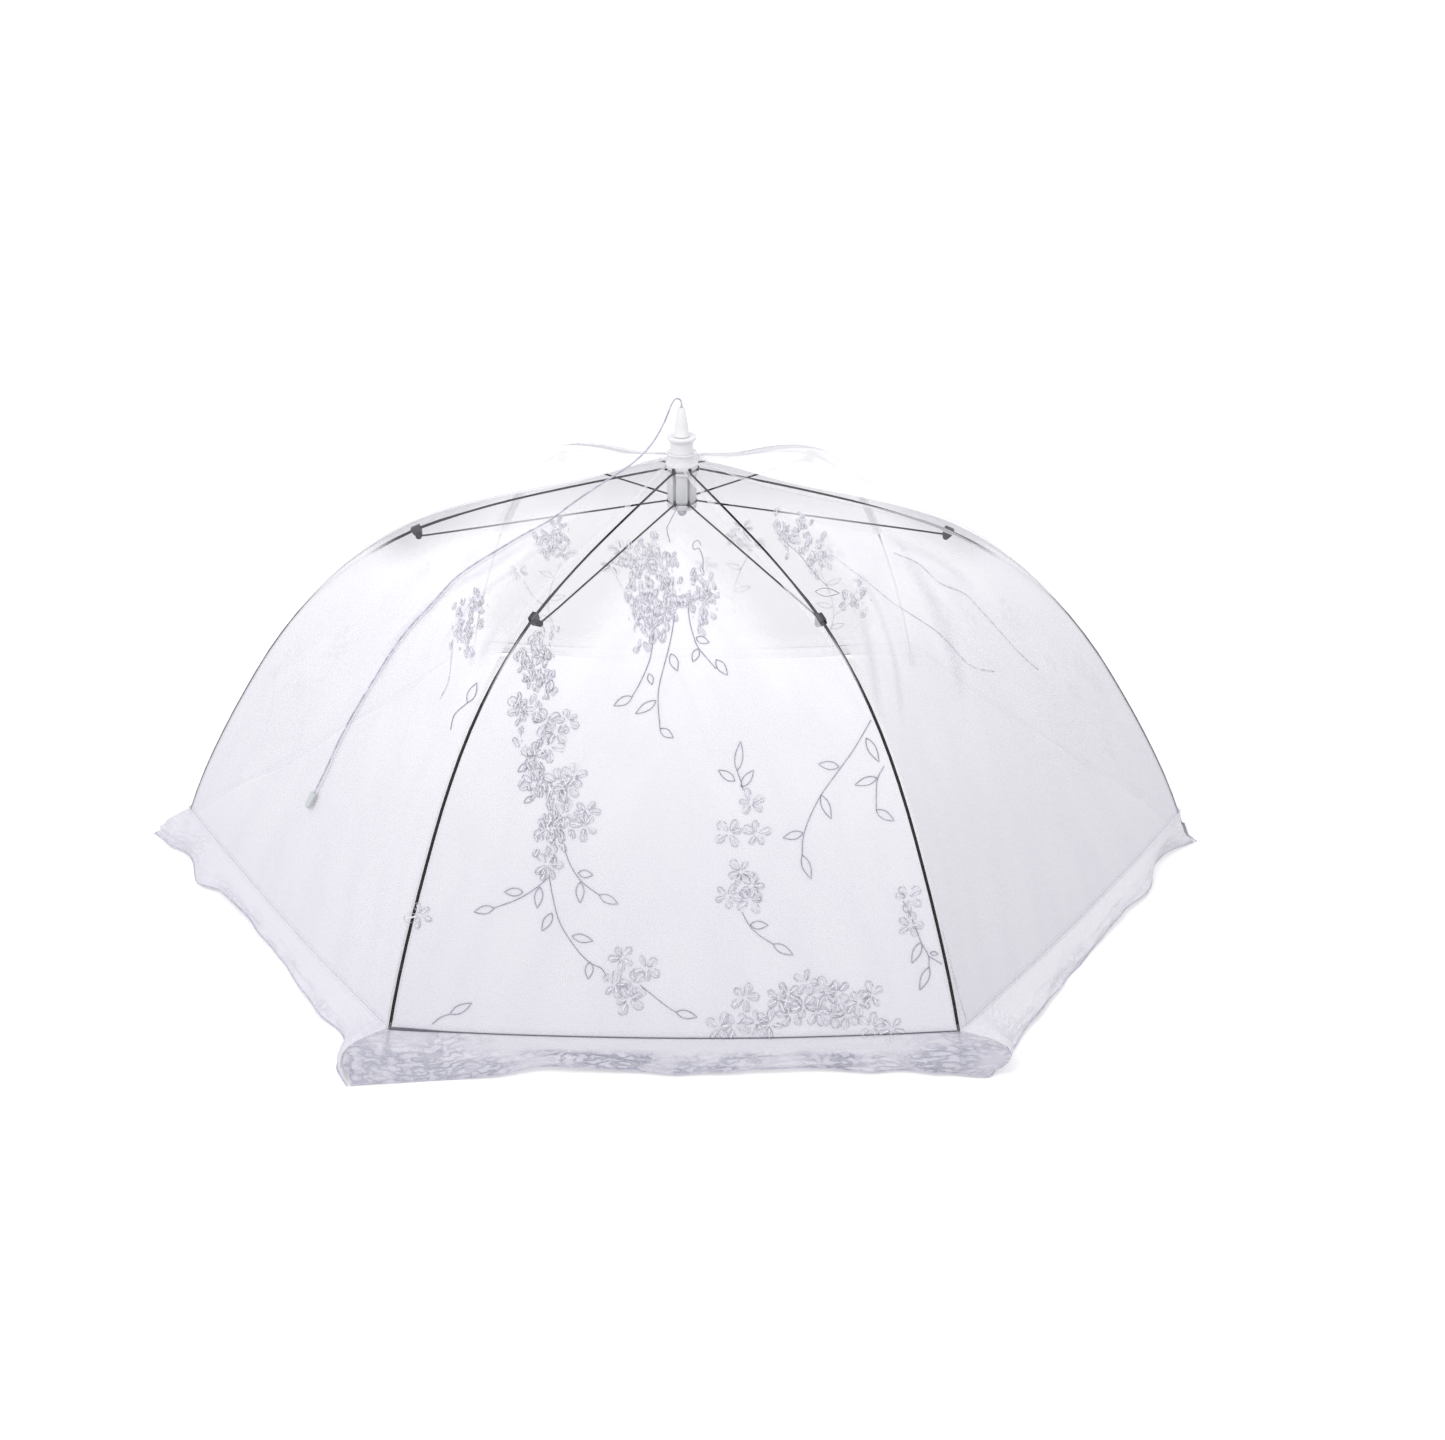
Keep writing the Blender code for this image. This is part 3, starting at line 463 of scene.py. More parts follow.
def lace_point(side, along, down, lift=0):
    """A point of the gathered edge: from the hem, out and down to the table."""
    top = turned(canopy_point(side, along, HEM_SHARE), -side_angle(side))
    x = LACE_RADIUS * math.cos(HALF_SIDE) - LACE_HOLLOW * (1 - along**2)
    fold, foot_fold = CORNER_FOLDS[rib_at(side, along)]
    at_corner = bump(abs(along), 1, CORNER_FOLD_REACH)
    sway = 1 + lumps(SWAY_NOISE, along, side, 0)
    sway += SWAY_WEIGHT * math.sin(SWAY_TURNS * along + side)
    raised = FABRIC_THICKNESS + (1 - at_corner) * LACE_WAVE * sway
    foot = Vector((x, along * (LACE_RADIUS * math.sin(HALF_SIDE) - CLEARANCE), raised))
    gather = math.sin(math.tau * LACE_GATHERS * (along + 1) / 2 + 2 * side)
    crumple = CRUMPLE_WEIGHT * lumps(CRUMPLE_NOISE, along, down, side)
    crumple += (1 + at_corner) * lumps(RIPPLE_NOISE, along, down, side)
    push = LACE_BULGE * math.sin(math.pi * down) + LACE_GATHER * gather * down
    push += LACE_CRUMPLE * crumple * down + lift
    out = Vector((math.cos(HALF_SIDE), along * math.sin(HALF_SIDE), 0))
    point = turned(top.lerp(foot, down) + push * out, side_angle(side))
    point += fold * at_corner * math.sin(math.pi * down)
    point += foot_fold * bump(abs(along), 1, CORNER_FOOT_REACH) * down
    for centre, reach, tuck in LACE_TUCKS.get(side, ()):
        point += tuck * bump(along, centre, reach) * down
    return point


def photo_pixel(point):
    """Where a point shows in the photograph."""
    right = CAMERA_DIRECTION.cross(Vector((0, 0, 1))).normalized()
    up = right.cross(CAMERA_DIRECTION)
    seen = point - CAMERA_PLACE
    scale = PHOTO_WIDTH * LENS / SENSOR_WIDTH / seen.dot(CAMERA_DIRECTION)
    x = PHOTO_WIDTH / 2 + seen.dot(right) * scale
    y = PHOTO_HEIGHT / 2 - seen.dot(up) * scale
    return Vector((x, y))


@lru_cache(maxsize=None)
def place_of_pixel(side, x, y):
    """The place on a side that the photograph shows at a pixel, and its steps per pixel."""
    along, share = 0.0, 0.5
    for _ in range(SEARCH_TRIES):
        here = photo_pixel(canopy_point(side, along, share))
        beside = photo_pixel(canopy_point(side, along + SEARCH_STEP, share))
        below = photo_pixel(canopy_point(side, along, share + SEARCH_STEP))
        across, downward = (beside - here) / SEARCH_STEP, (below - here) / SEARCH_STEP
        gap = Vector((x, y)) - here
        area = across.x * downward.y - across.y * downward.x
        by_x = Vector((downward.y, -across.y)) / area
        by_y = Vector((-downward.x, across.x)) / area
        along += gap.x * by_x.x + gap.y * by_y.x
        share += gap.x * by_x.y + gap.y * by_y.y
        along = max(-SEARCH_ALONG, min(along, SEARCH_ALONG))
        share = max(CANOPY_START_SHARE, min(share, HEM_SHARE + SEARCH_PAST_HEM))
    return Vector((along, share)), by_x, by_y


class Wire:
    """A value inside a finish, so that shader maths is written as sums."""

    def __init__(self, finish, socket):
        self.finish = finish
        self.socket = socket

    def math(self, operation, *values, clamp=False):
        settings = {"operation": operation, "use_clamp": clamp}
        return self.finish.add("ShaderNodeMath", settings, dict(enumerate(values)))

    def __add__(self, other):
        return self.math("ADD", self, other)

    def __sub__(self, other):
        return self.math("SUBTRACT", self, other)

    def __rsub__(self, other):
        return self.math("SUBTRACT", other, self)

    def __mul__(self, other):
        return self.math("MULTIPLY", self, other)

    def __abs__(self):
        return self.math("ABSOLUTE", self)

    def clamped(self):
        return self.math("MULTIPLY", self, 1, clamp=True)

    __radd__ = __add__
    __rmul__ = __mul__


def opaque(colour):
    """A colour as a node takes it."""
    return colour if isinstance(colour, Wire) else (*colour, 1)


def scaled(colour, factor):
    return tuple(min(1, factor * value) for value in colour)


class Finish:
    """A material, with one method that adds any node to it."""

    MIX_FACTOR, MIX_A, MIX_B, MIX_RESULT = 0, 6, 7, 2

    def __init__(self, name, colour, roughness, metallic=0):
        self.material = bpy.data.materials.new(name)
        self.material.use_nodes = True
        self.tree = self.material.node_tree
        self.shader = self.tree.nodes["Principled BSDF"]
        self.set("Base Color", opaque(colour))
        self.set("Roughness", roughness)
        self.set("Metallic", metallic)

    def feed(self, socket, value):
        if isinstance(value, Wire):
            self.tree.links.new(value.socket, socket)
        else:
            socket.default_value = value

    def add(self, kind, settings, inputs, output=0):
        node = self.tree.nodes.new(kind)
        for key, value in settings.items():
            setattr(node, key, value)
        for key, value in inputs.items():
            self.feed(node.inputs[key], value)
        return Wire(self, node.outputs[output])

    def set(self, name, value):
        self.feed(self.shader.inputs[name], value)

    def glow(self, colour, strength):
        """Light of its own. On the nets it is painted light, a glow for the light that comes
        through the cloth.
        """
        self.set("Emission Color", opaque(colour))
        self.set("Emission Strength", strength)

    def mix(self, a, b, factor):
        """A colour between two others."""
        inputs = {self.MIX_FACTOR: factor, self.MIX_A: opaque(a), self.MIX_B: opaque(b)}
        return self.add("ShaderNodeMix", {"data_type": "RGBA"}, inputs, self.MIX_RESULT)

    def place(self, output="Object"):
        return self.add("ShaderNodeTexCoord", {}, {}, output)

    def stretched(self, vector, factors):
        return self.add("ShaderNodeVectorMath", {"operation": "MULTIPLY"}, {0: vector, 1: factors})

    def part(self, vector, axis):
        return self.add("ShaderNodeSeparateXYZ", {}, {"Vector": vector}, axis)

    def grain(self, size, detail=2, place=None):
        """Noise from 0 to 1 whose lumps are about as large as the size."""
        inputs = {"Vector": place or self.place(), "Scale": 1 / size, "Detail": detail}
        return self.add("ShaderNodeTexNoise", {}, inputs)

    def spots(self, size, detail, level, steepness, place=None):
        """Noise that rises from 0 to 1 above a level."""
        return ((self.grain(size, detail, place) - level) * steepness).clamped()

    def net(self, mesh, place):
        """One on the threads of a net and nothing inside its meshes, which have that size."""
        settings = {"voronoi_dimensions": "2D", "feature": "DISTANCE_TO_EDGE"}
        inputs = {"Vector": place, "Scale": 1 / mesh, "Randomness": NET_UNEVENNESS}
        from_thread = self.add("ShaderNodeTexVoronoi", settings, inputs)
        return ((NET_THREAD - from_thread) * NET_THREAD_EDGE).clamped()

    def ramp(self, value, start, end):
        """A smooth rise from 0 at the start to 1 at the end."""
        settings = {"interpolation_type": "SMOOTHSTEP"}
        inputs = {"Value": value, "From Min": start, "From Max": end}
        return self.add("ShaderNodeMapRange", settings, inputs)

    def ridge(self, value, steepness):
        """One where the value is a half, falling off to both sides."""
        return (1 - steepness * abs(value - 0.5)).clamped()

    def relief(self, height, depth):
        """Bumps as deep as given, where the height runs from 0 to 1."""
        inputs = {"Height": height, "Distance": depth, "Strength": 1}
        self.set("Normal", self.add("ShaderNodeBump", {}, inputs))


# The net: threads, painted glow, painted shade low down and in its creases, and how it opens over
# a rib
NET_UNEVENNESS = 0.4
NET_THREAD = 0.20  # half a thread's width, where a mesh is 1
NET_THREAD_EDGE = 7
NET_MESH = 0.0011
# Painted light: the nets glow for the light that comes through them, the back nets more
NET_PAINTED_GLOW = 0.14
BACK_NET_PAINTED_GLOW = 0.20
# Painted shade: the net's colour greys down its lower part, where less light falls on it
NET_LOW_PAINTED_SHADE = (0.640, 0.630, 0.680)
NET_SHADE_SHARES = (0.080, 0.340)
# Painted shade: darker streaks where the net creases
NET_CREASE_SHADE = (0.56, 0.55, 0.62)
NET_CREASE_SHADE_SHARE = 0.22
NET_CREASE_STRETCH = (1, 0.35, 1)
NET_OPENS_OVER_RIB = (0.0012, 0.0032)
NET_RIB_COVER = 0.02
# The lace: its dark thread, also its painted crease shade, where its stitching starts, and where
# the front's ends are gathered
LACE_THREAD_AND_SHADE = (0.24, 0.24, 0.32)
LACE_MESH = 0.0012
LACE_STITCH_TONE = 0.70
LACE_CREASE_SHADE = 0.32
LACE_BLOTCH_TONE = 0.11
LACE_STARTS = (0.005, 0.010)
LACE_GATHERED_LEFT = (-0.080, -0.110)
LACE_GATHERED_RIGHT = (0.105, 0.135)
LACE_SCROLL_STRETCH = (0.45, 1, 1)
LACE_FOLD_STRETCH = (0.12, 1, 1)


def net_finish(name, colour, cover, mesh, glow=NET_PAINTED_GLOW, cloudiness=0.0):
    """Fine net: threads round small meshes, with faint clouds where the cloth lies double."""
    finish = Finish(name, colour, roughness=0.75)
    thread = finish.net(mesh, finish.place("UV"))
    cloud = finish.grain(size=0.045, detail=3)
    finish.set("Base Color", finish.mix(colour, scaled(colour, 0.93), cloud))
    finish.set("Alpha", (cover * (0.8 + 0.3 * thread) + (cloud - 0.5) * cloudiness).clamped())
    # painted light: the net glows
    finish.glow(colour, glow)
    finish.relief(thread, depth=0.00008)
    return finish.material


def canopy_finish(name, top, cover, glow, top_cover, top_reach, top_closes):
    """The canopy's net, with another cover at its top, more open over each rib, with painted shade
    and glow.
    """
    finish = Finish(name, top, roughness=0.8)
    flat = finish.place("UV")
    from_rib = finish.part(flat, "X")
    down = finish.part(flat, "Y")
    over_rib = 1 - finish.ramp(from_rib, *NET_OPENS_OVER_RIB)
    at_top = (1 - finish.ramp(from_rib, *top_reach)) * (1 - finish.ramp(down, *top_closes))
    thread = finish.net(NET_MESH, flat)
    cloud = finish.grain(size=0.06, detail=3)
    covered = cover + (top_cover - cover) * at_top
    covered = covered * (0.94 + 0.1 * thread) + (cloud - 0.5) * 0.08
    finish.set("Alpha", (covered * (1 - (1 - NET_RIB_COVER) * over_rib)).clamped())
    # painted shade: greyer down the slope, where less light falls on the net
    colour = finish.mix(top, NET_LOW_PAINTED_SHADE, finish.ramp(down, *NET_SHADE_SHARES))
    # painted shade: darker streaks down the slope, in the net's creases
    drawn = finish.grain(0.035, 2, finish.stretched(flat, NET_CREASE_STRETCH))
    crease_shade = finish.ridge(drawn, steepness=6)
    finish.set("Base Color", finish.mix(colour, NET_CREASE_SHADE, NET_CREASE_SHADE_SHARE * crease_shade))
    # painted light: the net glows
    finish.glow(colour, glow)
    finish.relief(thread, depth=0.00006)
    return finish.material


def lace_finish(name, pale, cover, strength):
    """The lace edge: plain net above, close scrolls of stitching and painted shade in creases in
    its lower part.
    """
    finish = Finish(name, pale, roughness=0.8)
    flat = finish.place("UV")
    along = finish.part(flat, "X")
    gathered = finish.ramp(along, *LACE_GATHERED_LEFT) + finish.ramp(along, *LACE_GATHERED_RIGHT)
    low = (finish.ramp(finish.part(flat, "Y"), *LACE_STARTS) + 0.8 * gathered).clamped()
    thread = finish.net(LACE_MESH, flat)
    scroll = finish.ridge(finish.grain(0.0027, 3, finish.stretched(flat, LACE_SCROLL_STRETCH)), 10)
    # painted shade: darker streaks along the lace's folds, in its thread's colour
    crease_shade = finish.ridge(finish.grain(0.0050, 3, finish.stretched(flat, LACE_FOLD_STRETCH)), 7)
    blotch = finish.spots(size=0.024, detail=3, level=0.41, steepness=6, place=flat)
    blotch = (blotch + 0.25 * gathered).clamped()
    work = (scroll * (0.25 + 0.75 * blotch) * low).clamped()
    dark = LACE_STITCH_TONE * work + LACE_CREASE_SHADE * crease_shade * (0.3 + 0.7 * low)
    dark = dark + LACE_BLOTCH_TONE * blotch * low
    dark = (strength * dark * (1 - 0.20 * gathered)).clamped()
    finish.set("Base Color", finish.mix(pale, LACE_THREAD_AND_SHADE, dark))
    finish.set("Alpha", (cover + 0.06 * thread + 0.10 * low + 0.26 * dark).clamped())
    # painted light: the lace glows
    finish.glow(pale, NET_PAINTED_GLOW)
    finish.relief(work + 0.3 * thread, depth=0.0003)
    return finish.material


def fold_finish(name, colour, cover):
    """Net that lies double in a fold, darker for painted shade, fading out all round."""
    finish = Finish(name, colour, roughness=0.8)
    flat = finish.place("UV")
    across = finish.ridge(finish.part(flat, "X"), steepness=2)
    along = (3 * finish.ridge(finish.part(flat, "Y"), steepness=2)).clamped()
    cloud = finish.grain(size=0.010)
    finish.set("Base Color", finish.mix(colour, scaled(colour, 0.94), cloud))
    finish.set("Alpha", (cover * (0.6 + 0.8 * cloud) * across * along).clamped())
    return finish.material


def thread_finish(name, colour, fade=1.7, dips=0.0):
    """Spun thread with uneven dye and a fine twist, part hidden where it dips under the net."""
    finish = Finish(name, colour, roughness=0.6)
    uneven = finish.spots(size=0.0035, detail=2, level=0.32, steepness=2.8)
    finish.set("Base Color", finish.mix(colour, scaled(colour, fade), uneven))
    if dips:
        under = finish.spots(size=0.0026, detail=2, level=0.42, steepness=6)
        finish.set("Alpha", 1 - dips * under)
    finish.set("Sheen Weight", 0.3)
    finish.relief(finish.grain(size=0.0004, detail=1), depth=0.00006)
    return finish.material


def wire_finish(name, colour, worn):
    """Dark coated wire, rubbed brighter in places."""
    finish = Finish(name, colour, roughness=0.5)
    rub = finish.spots(size=0.006, detail=4, level=0.56, steepness=5)
    finish.set("Base Color", finish.mix(colour, worn, rub))
    finish.set("Roughness", 0.46 + 0.16 * finish.grain(size=0.003, detail=3))
    finish.set("Specular IOR Level", 0.2)
    finish.relief(finish.grain(size=0.0012, detail=3), depth=0.00003)
    return finish.material


def metal_finish(name, colour):
    """Bright drawn steel with a fine grain."""
    finish = Finish(name, colour, roughness=0.3, metallic=1)
    finish.set("Roughness", 0.22 + 0.2 * finish.grain(size=0.0015, detail=3))
    finish.relief(finish.grain(size=0.0006), depth=0.00002)
    return finish.material


def plastic_finish(name, colour, roughness, milky=0.0):
    """Moulded plastic with a faint skin texture and a little wear in its gloss."""
    finish = Finish(name, colour, roughness)
    mottle = finish.grain(size=0.004, detail=3)
    finish.set("Base Color", finish.mix(colour, scaled(colour, 0.94), mottle))
    finish.set("Alpha", 1 - 0.35 * milky)
    finish.set("Roughness", roughness + 0.12 * (finish.grain(size=0.002, detail=4) - 0.5))
    finish.relief(finish.grain(size=0.0005), depth=0.00002)
    return finish.material


def floor_finish():
    """Matt white. The camera sees it brighter, so that only the shadow shows on it."""
    finish = Finish("studio floor", (0.80, 0.80, 0.81), roughness=0.9)
    seen = finish.add("ShaderNodeLightPath", {}, {}, "Is Camera Ray")
    finish.glow(finish.mix((0, 0, 0), FLOOR_GLOW, seen), 1)
    return finish.material


NET = canopy_finish(
    "canopy net",
    top=(0.800, 0.795, 0.830),
    cover=0.91,
    glow=NET_PAINTED_GLOW,
    top_cover=0.09,
    top_reach=(0.022, 0.056),
    top_closes=(0.146, 0.170),
)
# Painted light: the back sides' net is a paler copy of the front net, glowing more, to light its
# shaded inside
BRIGHTENED_BACK_NET = canopy_finish(
    "back canopy net",
    top=(0.900, 0.895, 0.920),
    cover=0.44,
    glow=BACK_NET_PAINTED_GLOW,
    top_cover=0.86,
    top_reach=(0.5, 0.6),
    top_closes=(0.16, 0.24),
)
SEAM_NET = net_finish("seam allowance", (0.76, 0.755, 0.80), 0.50, 0.0009)
DOUBLE_NET = net_finish("doubled net", (0.74, 0.73, 0.80), 0.14, 0.0009, cloudiness=0.04)
COLLAR_NET = net_finish("gathered net", (0.84, 0.84, 0.87), 0.20, 0.0007, cloudiness=0.10)
# Painted light: the sleeves are paler and glow, against the shade under the canopy
BRIGHTENED_SLEEVE_NET = net_finish("rib sleeve net", (0.92, 0.92, 0.94), 1.0, 0.0009, BACK_NET_PAINTED_GLOW)
# Partly painted shade: the folds are darker than the net round them
FOLD_DOUBLE_AND_SHADE = fold_finish("soft fold", (0.66, 0.65, 0.73), 0.19)
LACE = lace_finish("lace edge", (0.62, 0.61, 0.67), cover=0.62, strength=1)
SIDE_LACE = lace_finish("plainer lace edge", (0.70, 0.69, 0.74), cover=0.82, strength=0.22)
LEFT_LACE = lace_finish("left lace edge", (0.65, 0.64, 0.70), cover=0.82, strength=0.22)
BACK_LACE = lace_finish("back lace edge", (0.70, 0.69, 0.74), cover=0.36, strength=0.4)
STEM_STITCH = thread_finish("stem stitching", (0.20, 0.19, 0.25))
PETAL_STITCH = thread_finish("petal stitching", (0.38, 0.37, 0.43), fade=1.8, dips=0.86)
SATIN_STITCH = thread_finish("satin stitching", (0.74, 0.725, 0.785), fade=1.10, dips=0.30)
FAINT_STITCH = thread_finish("faint stitching", (0.50, 0.49, 0.56), dips=0.45)
# Dark thread, and partly painted shade: the front hem's seam is darkened for the shade along that
# hem
DARK_SEAM_AND_SHADE = thread_finish("seam thread", (0.09, 0.085, 0.115), fade=1.4)
FAINT_SEAM = thread_finish("faint seam thread", (0.74, 0.73, 0.79), fade=1.1)
CORD = thread_finish("pull cord", (0.44, 0.43, 0.50))
TIE = thread_finish("collar tie", (0.78, 0.78, 0.82), fade=1.1)
BINDING = thread_finish("lace binding", (0.40, 0.39, 0.47), fade=1.5)
GRAPHITE = wire_finish("graphite wire", (0.007, 0.005, 0.009), worn=(0.030, 0.026, 0.034))
STEEL = metal_finish("ring wire steel", (0.55, 0.55, 0.57))
DARK_FITTING = plastic_finish("dark clip plastic", (0.035, 0.033, 0.042), 0.5)
GREY_PLASTIC = plastic_finish("grey cap plastic", (0.30, 0.30, 0.34), 0.5)
WHITE_PLASTIC = plastic_finish("white hub plastic", (0.86, 0.86, 0.88), 0.35)
MILKY_PLASTIC = plastic_finish("milky runner plastic", (0.84, 0.85, 0.87), 0.3, milky=0.4)
TAB_PLASTIC = plastic_finish("pull tab", (0.55, 0.57, 0.59), 0.45)
STITCHES = {
    "stem": STEM_STITCH,
    "petal": PETAL_STITCH,
    "satin": SATIN_STITCH,
    "faint": FAINT_STITCH,
}


def new_object(name, mesh, material):
    obj = bpy.data.objects.new(name, mesh)
    bpy.context.scene.collection.objects.link(obj)
    mesh.materials.clear()
    mesh.materials.append(material)
    mesh.shade_smooth()
    return obj


def cloth(name, material, columns, rows, place, flat):
    """A sheet over place(u, v), both from 0 to 1. Its UV map is its flat pattern, in metres."""
    bm = bmesh.new()
    bmesh.ops.create_grid(bm, x_segments=columns, y_segments=rows, size=0.5)
    pattern = bm.loops.layers.uv.new("flat")
    for face in bm.faces:
        for loop in face.loops:
            loop[pattern].uv = flat(loop.vert.co.x + 0.5, loop.vert.co.y + 0.5)
    for vert in bm.verts:
        vert.co = place(vert.co.x + 0.5, vert.co.y + 0.5)
    bm.normal_update()
    if sum(face.normal.dot(face.calc_center_median()) for face in bm.faces) < 0:
        bmesh.ops.reverse_faces(bm, faces=bm.faces)
    mesh = bpy.data.meshes.new(name)
    bm.to_mesh(mesh)
    bm.free()
    return new_object(name, mesh, material)


def threads(name, material, lines, radius, resolution=0, swell=None):
    """Round threads along lines of points, as one piece. Swell gives the thickness by share."""
    curve = bpy.data.curves.new(name, "CURVE")
    curve.dimensions = "3D"
    curve.bevel_depth = radius
    curve.bevel_resolution = resolution
    curve.use_fill_caps = True
    for line in lines:
        spline = curve.splines.new("POLY")
        spline.points.add(len(line) - 1)
        for number, (point, place) in enumerate(zip(spline.points, line)):
            point.co = (*place, 1)
            if swell:
                point.radius = swell(number / (len(line) - 1))
    holder = bpy.data.objects.new(name, curve)
    bpy.context.scene.collection.objects.link(holder)
    bpy.context.view_layer.update()
    shape = holder.evaluated_get(bpy.context.evaluated_depsgraph_get())
    mesh = bpy.data.meshes.new_from_object(shape)
    bpy.data.objects.remove(holder)
    bpy.data.curves.remove(curve)
    mesh.name = name
    return new_object(name, mesh, material)


def fold_with(piece, rib):
    """Carries a soft piece on its rib."""
    angle = rib_angle(rib)
    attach(piece, f"rib_{rib}")
    pivot = turned(Vector((PIVOT_RADIUS, 0, PIVOT_HEIGHT)), angle)
    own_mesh(piece)
    return piece


def half_side_area():
    """The flat area of half a side, from its rows."""
    rows = sampled(lambda v: half_width(share_down(v)), CANOPY_ROWS)
    step = RIB.length * CANOPY_SPAN / CANOPY_ROWS
    return step * sum((a + b) / 2 for a, b in zip(rows, rows[1:]))


def add_canopy_half(side, end, with_pieces):
    rib = rib_at(side, end)
    length = RIB.length * CANOPY_SPAN

    def place(u, v):
        return canopy_point(side, end * (1 - u), share_down(v))

    def flat(u, v):
        return u * half_width(share_down(v)), v * length

    finish = BRIGHTENED_BACK_NET if side in BACK_SIDES else NET
    net = cloth(f"canopy_{side}_rib_{rib}", finish, HALF_COLUMNS, CANOPY_ROWS, place, flat)
    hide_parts(f"canopy_panel_{side}")
    half_width(HEM_SHARE)
    half_side_area()
    fold_with(net, rib)


def hem_bunch(share):
    return 1 + HEM_BUNCH * bump(share, HEM_BUNCH_CENTRE, HEM_BUNCH_REACH)


def add_hem_half(side, end):
    """The doubled hem and the seam thread that runs along it."""
    rib = rib_at(side, end)
    start = HEM_SHARE - HEM_TAPE_WIDTH / RIB.length

    def place(u, v):
        share = start + (HEM_SHARE - start) * v
        return canopy_point(side, end * (1 - u), share, FABRIC_THICKNESS / 2)

    def flat(u, v):
        return u * TIP_RADIUS / 2, v * HEM_TAPE_WIDTH

    def seam(share):
        stand = FABRIC_THICKNESS / 2 + HEM_THREAD_RADIUS
        return canopy_point(side, end * share, HEM_SHARE, stand)

    tape = cloth(f"hem_tape_{side}_rib_{rib}_net", DOUBLE_NET, HALF_COLUMNS, 2, place, flat)
    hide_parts(f"hem_tape_{side}")
    # the front hem's seam is dark, partly painted shade
    thread = threads(
        f"hem_seam_{side}_rib_{rib}",
        DARK_SEAM_AND_SHADE if side == FRONT else FAINT_SEAM,
        [sampled(seam, 4 * HALF_COLUMNS)],
        HEM_THREAD_RADIUS,
        resolution=1,
        swell=hem_bunch if side == FRONT and end < 0 else None,
    )
    fold_with(tape, rib)
    fold_with(thread, rib)
    return [tape, thread]


def add_lace_half(side, end):
    """The gathered edge, and the bound thread along its foot."""
    rib = rib_at(side, end)
    length = (lace_point(side, 0, 1) - lace_point(side, 0, 0)).length

    def place(u, v):
        return lace_point(side, end * (1 - u), v)

    def flat(u, v):
        return (1 - u) * end * LACE_RADIUS / 2, v * length

    def foot(share):
        return lace_point(side, end * share, BINDING_DOWN, BINDING_STAND_OFF)

    finish = {LEFT: LEFT_LACE, FRONT: LACE, RIGHT: SIDE_LACE}.get(side, BACK_LACE)
    lace = cloth(f"lace_{side}_rib_{rib}", finish, LACE_COLUMNS, LACE_ROWS, place, flat)
    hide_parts(f"lace_edge_{side}")
    line = sampled(foot, LACE_COLUMNS)
    binding = threads(f"lace_binding_{side}_rib_{rib}", BINDING, [line], BINDING_RADIUS, 1)
    fold_with(lace, rib)
    fold_with(binding, rib)


